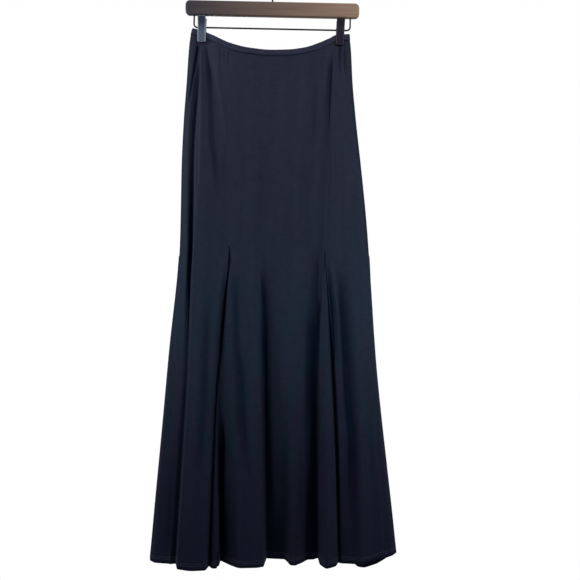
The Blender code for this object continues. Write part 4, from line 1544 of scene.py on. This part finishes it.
    def _enclosed(self) -> np.ndarray:
        """How far the cloth beside every point shuts it in, from 0 in the open to 1, which is
        painted on it as shade.

        Returns:
            A number for every point.
        """
        plan, away = self.ring[..., :2], self.outward[..., :2]
        away = away / np.maximum(np.linalg.norm(away, axis=2, keepdims=True), TINY)
        onward = np.stack([-away[..., 1], away[..., 0]], axis=-1)
        painted_shade = np.zeros(plan.shape[:2])
        for way in (-1, 1):
            horizon = np.zeros(painted_shade.shape)
            for step in range(1, self.fold_neighbours + 1):
                gap = np.roll(plan, -way * step, axis=1) - plan
                angle = np.arctan2((gap * away).sum(axis=2), way * (gap * onward).sum(axis=2))
                clear = np.linalg.norm(gap, axis=2) > self.own_cloth
                horizon = np.where(clear, np.maximum(horizon, angle), horizon)
            painted_shade += (1 - np.cos(horizon)) / 2
        return np.clip(painted_shade, 0, 1)

    def _creases(self, ring: np.ndarray) -> tuple[np.ndarray, np.ndarray]:
        """How far the creases raise or sink every point, and how much painted shade their cores lay
        on it.

        Args:
            ring: (rows, columns, 3), all round the skirt.

        Returns:
            The rise, and the painted shade from 0 to 1, of every point.
        """
        rise, pressed = np.zeros(ring.shape[:2]), np.zeros(ring.shape[:2])
        for side, creases in CREASES.items():
            for crease in creases:
                strength, near = self._felt(ring, side.value, crease)
                rise += crease.rise * strength * near
                # Painted shade in the crease's core
                core = crease.shade * strength * near ** self.core_narrowness
                pressed = np.maximum(pressed, core)
        return rise, pressed

    def _felt(self, ring: np.ndarray, facing: int, crease: Crease
              ) -> tuple[np.ndarray, np.ndarray]:
        """How strongly a crease is felt.

        Args:
            ring: (rows, columns, 3), all round the skirt.
            facing: the way that the crease's side faces along Y.
            crease: the crease.

        Returns:
            How far it is grown at every point's height, and how near every point is to its
            middle, both from 0 to 1.
        """
        x, z = ring[..., 0], ring[..., 2]
        rows = np.arange(len(ring))
        middle = SmoothCurve((height, place) for place, height in crease.path)
        far = np.abs(x - middle(z)) - self.crease_nearness * ring[..., 1] * facing
        far[self.outward[..., 1] * facing < self.crease_facing] = np.inf
        nearest = far.argmin(axis=1)
        miss = middle(z[rows, nearest]) - x[rows, nearest]
        apart = self._apart(self.around[rows, nearest] - facing * miss) * -facing
        reach = np.where(apart < 0, crease.left, crease.right)
        grown = np.clip((crease.path[0][1] - z) / crease.fade_in, 0, 1)
        left = np.clip((z - crease.path[-1][1]) / crease.fade_out, 0, 1)
        strength = grown ** 2 * (3 - 2 * grown) * left ** 2 * (3 - 2 * left)
        return strength, np.exp(-(apart / reach) ** 2)

    def _drape(self, ring: np.ndarray) -> np.ndarray:
        """The slight unevenness of cloth that hangs: long soft streaks, less under the band.

        Args:
            ring: (rows, columns, 3), all round the skirt.

        Returns:
            The rise of every point.
        """
        flat = ring.reshape(-1, 3)
        broad = np.array([noise.noise(p) for p in flat / self.broad_wave])
        fine = np.array([noise.noise(p) for p in flat / self.fine_wave + (0, 0, self.fine_phase)])
        rise = (self.broad_rise * broad + self.fine_rise * fine).reshape(ring.shape[:2])
        below = self.waist_seam(ring[..., 0]) - ring[..., 2]
        full, least = self.calm
        return rise * np.clip(below / full, least, 1)


# ------------------------ the skirt
@dataclass
class Skirt:
    """The twelve panels of the skirt, with their turned-up hem."""

    form: SkirtForm
    cloth: bpy.types.Material
    thickness: float = 0.9
    fold_radius: float = 1.0
    fold_angles: tuple[float, ...] = (30, 60, 90, 120, 150, 180)
    turn_up: float = 17.0
    turn_up_swell: float = 0.3
    swell_run: float = 3.0  # over which the swell of the turn-up ends
    stitch_lines: tuple[float, ...] = (8.4, 12.6)
    stitch_sink: float = 0.35
    stitch_width: float = 0.9

    def build(self) -> Pieces:
        """Returns:
            The pieces.
        """
        points, marks = self._with_hem()
        down = run_length(points, 0)
        extra = list(range(len(self.form.shares), len(points)))
        pieces = []
        for p, (panel, span) in enumerate(zip(PANELS, self.form.spans)):
            there = list(np.flatnonzero(self.form.present[self.form.first_line[p]])) + extra
            mine = points[there, span]
            across = run_length(mine, 1)
            across -= across[:, -1:] / 2
            mesh = Workshop.sheet_mesh(mine, across * MM, -down[there, span] * MM,
                                       {name: mark[there, span] for name, mark in marks.items()})
            piece = Workshop.finish_piece(mesh, f"{panel.name}_cloth", self.cloth, Slot.JERSEY,
                                          (panel.name,))
            Workshop.thicken(piece, self.thickness)
            pieces.append(piece)
        return pieces

    def _with_hem(self) -> tuple[np.ndarray, dict[str, np.ndarray]]:
        """The points of all panels with the hem folded up inside, and the marks on them.

        Returns:
            Points as (rows, columns, 3), and the marks by name.
        """
        form = self.form
        ring = form.ring.copy()
        height = ring[..., 2] - ring[-1, :, 2]
        inside = (self.turn_up - height) / self.swell_run + 0.5
        swell = self.turn_up_swell * np.clip(inside, 0, 1)
        for line in self.stitch_lines:
            swell = swell - self.stitch_sink * np.exp(-((height - line) / self.stitch_width) ** 2)
        ring = ring + form.outward * swell[..., None]
        last, away = ring[-1], form.outward[-1]
        down = ring[-1] - ring[-2]
        down /= np.linalg.norm(down, axis=1, keepdims=True)
        radius = self.fold_radius
        edge = [last + down * radius * sin(a) - away * radius * (1 - cos(a))
                for a in (radians(degrees) for degrees in self.fold_angles)]
        folded = [r for r in range(len(ring) - 1)
                  if (1 - form.shares[r]) * form.usual_length <= self.turn_up]
        inner = [ring[r] - form.outward[r] * 2 * radius for r in reversed(folded)]
        points = np.concatenate([ring, edge, inner])
        extra = len(points) - len(ring)
        marks = {name: np.concatenate([mark, np.repeat(mark[-1:], extra, axis=0)])
                 for name, mark in form.marks.items()}
        return points, marks

    def surface_at(self, height: float) -> tuple[np.ndarray, np.ndarray]:
        """Points and outward directions of the cloth at a height above the edge of the hem.

        Args:
            height: in millimetres.

        Returns:
            Both as (columns, 3).
        """
        form = self.form
        above = form.ring[..., 2] - form.ring[-1, :, 2]
        upper = (above > height).sum(axis=0) - 1
        columns = np.arange(above.shape[1])
        low, high = above[upper + 1, columns], above[upper, columns]
        share = ((height - low) / (high - low))[:, None]
        points = form.ring[upper + 1, columns] * (1 - share) + form.ring[upper, columns] * share
        return points, form.outward[upper, columns]


@dataclass
class HemStitching:
    """The two rows of straight stitches that hold the hem."""

    skirt: Skirt
    thread: bpy.types.Material
    pitch: float = 3.3
    length: float = 2.7
    width: float = 0.5
    lift: float = 0.1
    sides: int = 8
    rings: int = 4

    def build(self) -> Pieces:
        """Make both rows as one piece.

        Returns:
            The piece.
        """
        places = [m for height in self.skirt.stitch_lines for m in self._row(height)]
        template = bmesh.new()
        bmesh.ops.create_uvsphere(template, u_segments=self.sides, v_segments=self.rings,
                                  radius=0.5)
        template.transform(Matrix.Diagonal((self.length, self.width, self.width, 1)))
        mesh = Workshop.stamped(template, places)
        return [Workshop.finish_piece(mesh, "hem_stitches", self.thread, Slot.JERSEY)]

    def _row(self, height: float) -> list[Matrix]:
        """Places of the stitches of one row.

        Args:
            height: of the row above the edge of the hem.

        Returns:
            Where each stitch lies, its length along X and its outer side up Z.
        """
        points, away = self.skirt.surface_at(height)
        points = points + away * (self.skirt.turn_up_swell - self.skirt.stitch_sink + self.lift)
        points = np.concatenate([points, points[:1]])
        away = np.concatenate([away, away[:1]])
        along = run_length(points, 0)
        count = int(along[-1] / self.pitch)
        places = []
        for k in range(count):
            middle = (k + 0.5) * along[-1] / count
            *ends, out = (Vector([float(np.interp(middle + d, along, row)) for row in read.T])
                          for read, d in ((points, -self.length / 2), (points, self.length / 2),
                                          (away, 0.0)))
            run = (ends[1] - ends[0]).normalized()
            rise = (out - run * out.dot(run)).normalized()
            turn = Matrix((run, rise.cross(run), rise)).transposed().to_4x4()
            places.append(Matrix.Translation((ends[0] + ends[1]) / 2) @ turn)
        return places


@dataclass
class Waistband:
    """The narrow casing over the elastic, folded at its upper edge, in a front and a back half."""

    form: SkirtForm
    cloth: bpy.types.Material
    proud: float = 1.1
    side_proud: float = 0.4
    wall: float = 3.0
    thickness: float = 0.9
    held: float = 3.4
    columns: int = 150
    end_turns: tuple[float, ...] = (2.5, 15, 30, 45, 60, 75)
    face_drops: tuple[float, ...] = (12.2, 11.0, 8.5, 6.0, 3.8, 2.4)
    top_turns: tuple[float, ...] = (15, 45, 75, 105, 135, 165)
    inner_drops: tuple[float, ...] = (3.5, 8.0)
    edge_roll: float = 0.5
    edge_sharpness: float = 4
    flat_length: float = 0.346  # metres
    flat_width: float = 0.029
    gathers: float = 0.22
    gather_pitch: float = 4.2
    gather_height: float = 11
    gather_phase: float = 3
    end_mark: float = 0.8  # how much painted seam highlight an end has, where the lower edge has all of it

    def build(self) -> Pieces:
        """Returns:
            The pieces.
        """
        pieces = []
        for facing, half in ((1, "front"), (-1, "back")):
            points = self._half(facing)
            if facing < 0:
                points = points[:, ::-1]
            across, down = run_length(points, 1), run_length(points, 0)
            # Painted seam highlight along the band's lower edge, a little less at its ends
            mark = np.zeros(points.shape[:2])
            mark[0] = 1.0
            mark[:, 0] = mark[:, -1] = self.end_mark
            mesh = Workshop.sheet_mesh(points[::-1], across[::-1] * MM, down[::-1] * MM,
                                       {"seam": mark[::-1]})
            node = f"waistband_{half}"
            piece = Workshop.finish_piece(mesh, f"{node}_cloth", self.cloth, Slot.JERSEY, (node,))
            Workshop.thicken(piece, self.thickness)
            pieces.append(piece)
        return pieces

    def _section(self) -> list[tuple[float, float]]:
        """The casing in section: up its face, over the top and down inside.

        Returns:
            Its points as (how far in, how far down).
        """
        height, radius = self.form.band_height, self.wall / 2
        face = [(self.edge_roll * abs(2 * drop / height - 1) ** self.edge_sharpness, drop)
                for drop in (height, *self.face_drops)]
        top = [(radius * (1 - cos(a)), radius * (1 - sin(a)))
               for a in (radians(degrees) for degrees in self.top_turns)]
        return [*face, *top, *((self.wall, drop) for drop in (*self.inner_drops, height))]

    def _half(self, facing: int) -> np.ndarray:
        """Points of one half, as (places in section, columns, 3), from the left to the right.

        Args:
            facing: 1 for the front half, -1 for the back one.

        Returns:
            The points.
        """
        form = self.form
        ends = [(radians(a), cos(radians(a))) for a in self.end_turns]
        rows = []
        for inset, drop in self._section():
            left, right = (float(form.tube[name](edge - drop)) + out * self.side_proud
                           for name, edge, out in (("left", WAIST_EDGE[0][1], -1),
                                                   ("right", WAIST_EDGE[-1][1], 1)))
            plan = [(left + self.held * (1 - cos(a)), self.held * sin(a), lean)
                    for a, lean in ends]
            for x in np.linspace(left + self.held, right - self.held, self.columns):
                depth = float(form.plain_depth(CLIP_LEVEL, (x - left) / (right - left), 1))
                plan.append((x, max(depth + self.proud, self.held), 0.0))
            plan += [(right - self.held * (1 - cos(a)), self.held * sin(a), -lean)
                     for a, lean in reversed(ends)]
            row = []
            for x, y, lean in plan:
                ripple = self.gathers * noise.noise(
                    (x / self.gather_pitch, drop / self.gather_height, self.gather_phase * facing))
                edge = float(form.waist_edge(x))
                outer = form.pinched(np.array([x, -facing * y, edge]), self.held)
                inward = np.array([lean, facing * (1 - lean ** 2) ** 0.5, 0])
                row.append(outer + inward * (inset - ripple) - np.array([0, 0, drop]))
            rows.append(row)
        return np.array(rows)


# ------------------------ the hanger
@dataclass
class Hanger:
    """The wooden bar with its hook, and the wire under it."""

    sizes: HangerSizes
    wood: bpy.types.Material
    steel: bpy.types.Material
    end_radius: float = 9.0
    end_segments: int = 8
    edge_radius: float = 2.6
    edge_segments: int = 4
    face_border: float = 0.5
    sharp_angle: float = radians(60)  # over which an edge is softened
    hook_steps: int = 72
    hook_sides: int = 20
    bend_steps: int = 12

    def build(self) -> Pieces:
        """Make the bar, the hook and the wire."""
        return [self._bar(), self._hook(), self._rail()]

    def _bar(self) -> bpy.types.Object:
        """Make the bar: a board with rounded ends and softened edges.

        Returns:
            The piece.
        """
        s = self.sizes
        mesh = bmesh.new()
        bmesh.ops.create_cube(mesh, size=1.0)
        mesh.transform(Matrix.Diagonal((s.bar_length, s.bar_thickness, s.bar_height, 1)))
        through = [e for e in mesh.edges
                   if abs(e.verts[0].co.y - e.verts[1].co.y) > s.bar_thickness / 2]
        bmesh.ops.bevel(mesh, geom=through, offset=self.end_radius, segments=self.end_segments,
                        profile=0.5, affect="EDGES", material=-1)
        rims = [e for e in mesh.edges if e.calc_face_angle(0) > self.sharp_angle]
        bmesh.ops.bevel(mesh, geom=rims, offset=self.edge_radius, segments=self.edge_segments,
                        profile=0.5, affect="EDGES", material=-1)
        broad = [f for f in mesh.faces if f.calc_area() > s.bar_height * s.bar_thickness]
        bmesh.ops.inset_individual(mesh, faces=broad, thickness=self.face_border)
        middle = Matrix.Translation((0, 0, s.bar_top - s.bar_height / 2))
        mesh.transform(s.tilted @ middle)
        return Workshop.finish_piece(mesh, "wooden_bar", self.wood, Slot.WOOD, ("hanger_bar",),
                                     radians(40))

    def _hook(self) -> bpy.types.Object:
        """Make the hook: a neck, a bend to the right, and a round crook open to the left.

        Returns:
            The piece.
        """
        s = self.sizes
        center = s.hook_wire / 2 - s.hook_radius
        start, tip = s.hook_start_angle, s.hook_tip_angle
        neck = Vector((0, 0, s.bar_top + s.hook_neck))
        joint = Vector((s.hook_radius * cos(start), 0, center + s.hook_radius * sin(start)))
        neck_pull = neck + Vector((0, 0, s.hook_neck_bend))
        joint_pull = joint - Vector((-sin(start), 0, cos(start))) * s.hook_neck_bend
        path = [Vector((0, 0, s.bar_top - s.bore_depth + 1))]
        for i in range(self.bend_steps):
            t = i / self.bend_steps
            path.append(neck * (1 - t) ** 3 + neck_pull * 3 * t * (1 - t) ** 2
                        + joint_pull * 3 * t * t * (1 - t) + joint * t ** 3)
        for i in range(self.hook_steps + 1):
            angle = start + (tip - start) * i / self.hook_steps
            path.append(Vector((s.hook_radius * cos(angle), 0,
                                center + s.hook_radius * sin(angle))))
        mesh = Workshop.wire([s.tilted @ p for p in path], s.hook_wire / 2, self.hook_sides)
        return Workshop.finish_piece(mesh, "hook_wire", self.steel, Slot.WIRE, ("hanger_hook",))

    def _rail(self) -> bpy.types.Object:
        """Make the wire that the clips slide on, bent up into the bar at both ends.

        Returns:
            The piece.
        """
        s = self.sizes
        low, high = s.rail_height, s.bar_top - s.bar_height + s.bore_depth - 1
        path = []
        for side in (-1, 1):
            half = [Vector((side * s.rail_half_width, 0, high))]
            for i in range(self.bend_steps + 1):
                angle = pi / 2 * i / self.bend_steps
                half.append(Vector((side * (s.rail_half_width - s.rail_bend * (1 - cos(angle))), 0,
                                    low + s.rail_bend * (1 - sin(angle)))))
            path += half if side < 0 else half[::-1]
        mesh = Workshop.wire([s.tilted @ p for p in path], s.rail_wire / 2)
        return Workshop.finish_piece(mesh, "rail_wire", self.steel, Slot.WIRE, ("clip_rail",))


@dataclass
class SprungClip:
    """A clip: two pressed plates with raised borders, and the coil spring between them."""

    sizes: HangerSizes
    place: ClipPlace
    steel: bpy.types.Material
    border_rise: float = 0.55
    border_inset: float = 1.1
    border_width: float = 0.55
    corner_radius: float = 2.6
    bulge: float = 3.8  # from the wire's middle to a plate's inner face
    border_steps: tuple[float, ...] = (0, 0.3, 0.7, 1.1, 1.6, 2.2, 3.0)
    inner_steps: tuple[float, ...] = (5.0, 7.0)
    even_start: float = 4.0
    even_step: float = 1.5
    spring_wire: float = 0.9
    spring_turns: int = 8
    steps_a_turn: int = 14
    spring_play: float = 0.1
    leg_height: float = 0.55  # of the lever's
    leg_spread: float = 5.2

    def build(self) -> Pieces:
        """Make both plates and the spring."""
        return [self._plate(1, "front"), self._plate(-1, "back"), self._spring()]

    def _plate(self, facing: int, face: str) -> bpy.types.Object:
        """Make a plate: a lever, a bulge over the spring, and a jaw with a turned-out lip.

        Args:
            facing: 1 for the front plate, -1 for the back one.
            face: its name.

        Returns:
            The piece.
        """
        s = self.sizes
        inner = SmoothCurve(((s.clip_lever_height, s.clip_lever_spread),
                             (s.spring_radius, self.bulge), (-s.spring_radius, self.bulge),
                             (-2 * s.spring_radius, s.jaw_gap),
                             (s.clip_toe - s.clip_jaw_drop, s.jaw_gap),
                             (-s.clip_jaw_drop, s.jaw_gap + s.clip_lip)))
        ends = self.border_steps
        total = s.clip_lever_height + s.clip_jaw_drop
        middle = np.arange(self.even_start, total - self.even_start, self.even_step)
        drops = [*ends, *middle, *(total - e for e in reversed(ends))]
        half = s.clip_width / 2
        edge = [(step - half) / half for step in (*ends, *self.inner_steps)]
        across = [*edge, 0.0, *(-share for share in reversed(edge))]
        rows, rims = [], []
        for drop in drops:
            z = s.clip_lever_height - drop
            to_end = min(drop, total - drop)
            cut = max(0.0, self.corner_radius - to_end)
            narrow = self.corner_radius - (self.corner_radius ** 2 - cut ** 2) ** 0.5
            row, rim = [], []
            for share in across:
                x = share * (half - narrow)
                to_edge = min(half - narrow - abs(x), to_end)
                bead = np.exp(-((to_edge - self.border_inset) / self.border_width) ** 2)
                stand = float(inner(z)) + s.clip_sheet + self.border_rise * bead
                row.append((x, -facing * stand, z))
                rim.append(bead)
            rows.append(row)
            rims.append(rim)
        points = np.array(rows)
        if facing < 0:
            points = points[:, ::-1]
        flat = np.zeros(points.shape[:2])
        # The raised border carries a painted highlight
        mesh = Workshop.sheet_mesh(points, flat, flat, {"rim": np.array(rims)})
        mesh.transform(s.clip_frame(self.place))
        node = f"clip_{self.place.name}_{face}"
        piece = Workshop.finish_piece(mesh, f"{node}_plate", self.steel, Slot.CLIP, (node,),
                                      radians(50))
        Workshop.thicken(piece, s.clip_sheet)
        return piece

    def _spring(self) -> bpy.types.Object:
        """Make the coil round the wire, with its two legs up inside the front lever.

        Returns:
            The piece.
        """
        s = self.sizes
        radius = s.spring_radius - self.spring_wire / 2 - self.spring_play
        steps = self.spring_turns * self.steps_a_turn
        run = s.spring_length - self.spring_wire
        coil = [Vector((run * (i / steps - 0.5), -radius * cos(tau * i / self.steps_a_turn),
                        radius * sin(tau * i / self.steps_a_turn))) for i in range(steps + 1)]
        reach = s.clip_lever_height * self.leg_height
        legs = [Vector((run * side / 2, -self.leg_spread, reach)) for side in (-1, 1)]
        mesh = Workshop.wire([s.clip_frame(self.place) @ p for p in [legs[0], *coil, legs[1]]],
                             self.spring_wire / 2, 8)
        node = f"clip_{self.place.name}_spring"
        return Workshop.finish_piece(mesh, f"{node}_coil", self.steel, Slot.CLIP, (node,))


# ------------------------ the studio
@dataclass(frozen=True)
class SoftBox:
    """A square soft light: its place and target in metres, its size and its power."""

    name: str
    place: Triple
    target: Triple
    size: float
    power: float

    def build(self) -> None:
        """Hang the light."""
        data = bpy.data.lights.new(self.name, "AREA")
        data.shape = "SQUARE"
        data.size = self.size
        data.energy = self.power
        lamp = bpy.data.objects.new(self.name, data)
        lamp.location = self.place
        aim = Vector(self.target) - Vector(self.place)
        lamp.rotation_euler = aim.to_track_quat("-Z", "Y").to_euler()
        bpy.context.scene.collection.objects.link(lamp)


SOFT_BOXES = (
    SoftBox("right light", (0.84, -0.93, 0.43), (0.0, 0.0, -0.30), 0.36, 14.6),
    SoftBox("left light", (-0.84, -0.93, 0.43), (0.0, 0.0, -0.30), 0.36, 9.6),
    SoftBox("left side light", (-0.76, -0.07, -0.05), (-0.20, 0.0, -0.45), 0.22, 5.5),
    SoftBox("right side light", (0.88, -0.06, -0.35), (0.20, 0.0, -0.70), 0.22, 2.6),
    SoftBox("back light", (-0.30, 1.40, 0.35), (0.0, 0.0, -0.45), 0.60, 20.0),
)


@dataclass
class Studio:
    """The camera, the lights, the white surroundings and the floor, placed in metres."""

    camera_place: Triple = (0.0344, -1.6, -0.656)
    lens: float = 48.4
    sensor: float = 36.0
    fill: float = 0.10
    floor_height: float = -1.62
    floor_radius: float = 0.95
    floor_sides: int = 96
    floor_color: Color = (0.82, 0.82, 0.82)

    def build(self) -> None:
        """Set everything up."""
        scene = bpy.context.scene
        scene.view_settings.view_transform = "Standard"
        data = bpy.data.cameras.new("camera")
        data.lens = self.lens
        data.sensor_width = self.sensor
        camera = bpy.data.objects.new("camera", data)
        camera.location = self.camera_place
        camera.rotation_euler = (pi / 2, 0, 0)
        scene.collection.objects.link(camera)
        scene.camera = camera
        for light in SOFT_BOXES:
            light.build()
        self._surroundings()
        self._floor()

    def _surroundings(self) -> None:
        """White where it is seen or mirrored, and a dim even light elsewhere."""
        world = bpy.data.worlds.new("studio")
        world.use_nodes = True
        bpy.context.scene.world = world
        tree = NodeTree(world.node_tree)
        background = world.node_tree.nodes["Background"]
        rays = tree.node("ShaderNodeLightPath")
        seen = tree.value(rays, "Is Camera Ray") + tree.value(rays, "Is Glossy Ray")
        seen = seen + tree.value(rays, "Is Transmission Ray")
        background.inputs["Color"].default_value = (1, 1, 1, 1)
        tree.feed(background.inputs["Strength"], self.fill + (1 - self.fill) * seen)

    def _floor(self) -> None:
        """A plain round floor under the skirt."""
        mesh = bmesh.new()
        bmesh.ops.create_circle(mesh, cap_ends=True, segments=self.floor_sides,
                                radius=self.floor_radius)
        mesh.transform(Matrix.Translation((0, 0, self.floor_height)))
        data = bpy.data.meshes.new("floor")
        mesh.to_mesh(data)
        mesh.free()
        finish = Finish("pale floor", {"Roughness": 0.9, "Specular IOR Level": 0.1})
        finish.color(self.floor_color)
        data.materials.append(finish.material)
        floor = bpy.data.objects.new("floor", data)
        bpy.context.scene.collection.objects.link(floor)


PLATE_SHARE = 0.7  # of a jaw's drop, from its foot up to where the lever's painted light starts
DOUBLED_LIGHTNESS = 1.32  # of the waistband's cloth, which is double and under tension


def main() -> None:
    """Clear the scene, load the frame, build the object in its studio and report its pieces."""
    logging.basicConfig(level=logging.INFO, format="%(message)s")
    for leftover in list(bpy.data.objects):
        bpy.data.objects.remove(leftover)
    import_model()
    Studio().build()
    sizes = HangerSizes()
    makers: list[Any] = [Hanger(sizes, StainedWood().make(), SmokedWire().make())]
    for clip in CLIPS:
        foot = sizes.clip_foot(clip).z + sizes.clip_jaw_drop * PLATE_SHARE
        steel = PlatedSteel(f"{clip.name} clip steel", *PLATINGS_AND_PAINTED_LIGHT[clip.name], foot * MM)
        makers.append(SprungClip(sizes, clip, steel.make()))
    form = SkirtForm(sizes)
    skirt = Skirt(form, JerseyKnit().make())
    doubled = JerseyKnit("navy jersey, doubled", lightness=DOUBLED_LIGHTNESS)
    makers += [skirt, Waistband(form, doubled.make()), HemStitching(skirt, SewingThread().make())]
    for maker in makers:
        for piece in maker.build():
            LOG.info("%s: %d faces", piece.name, len(piece.data.polygons))


if __name__ == "__main__":
    main()
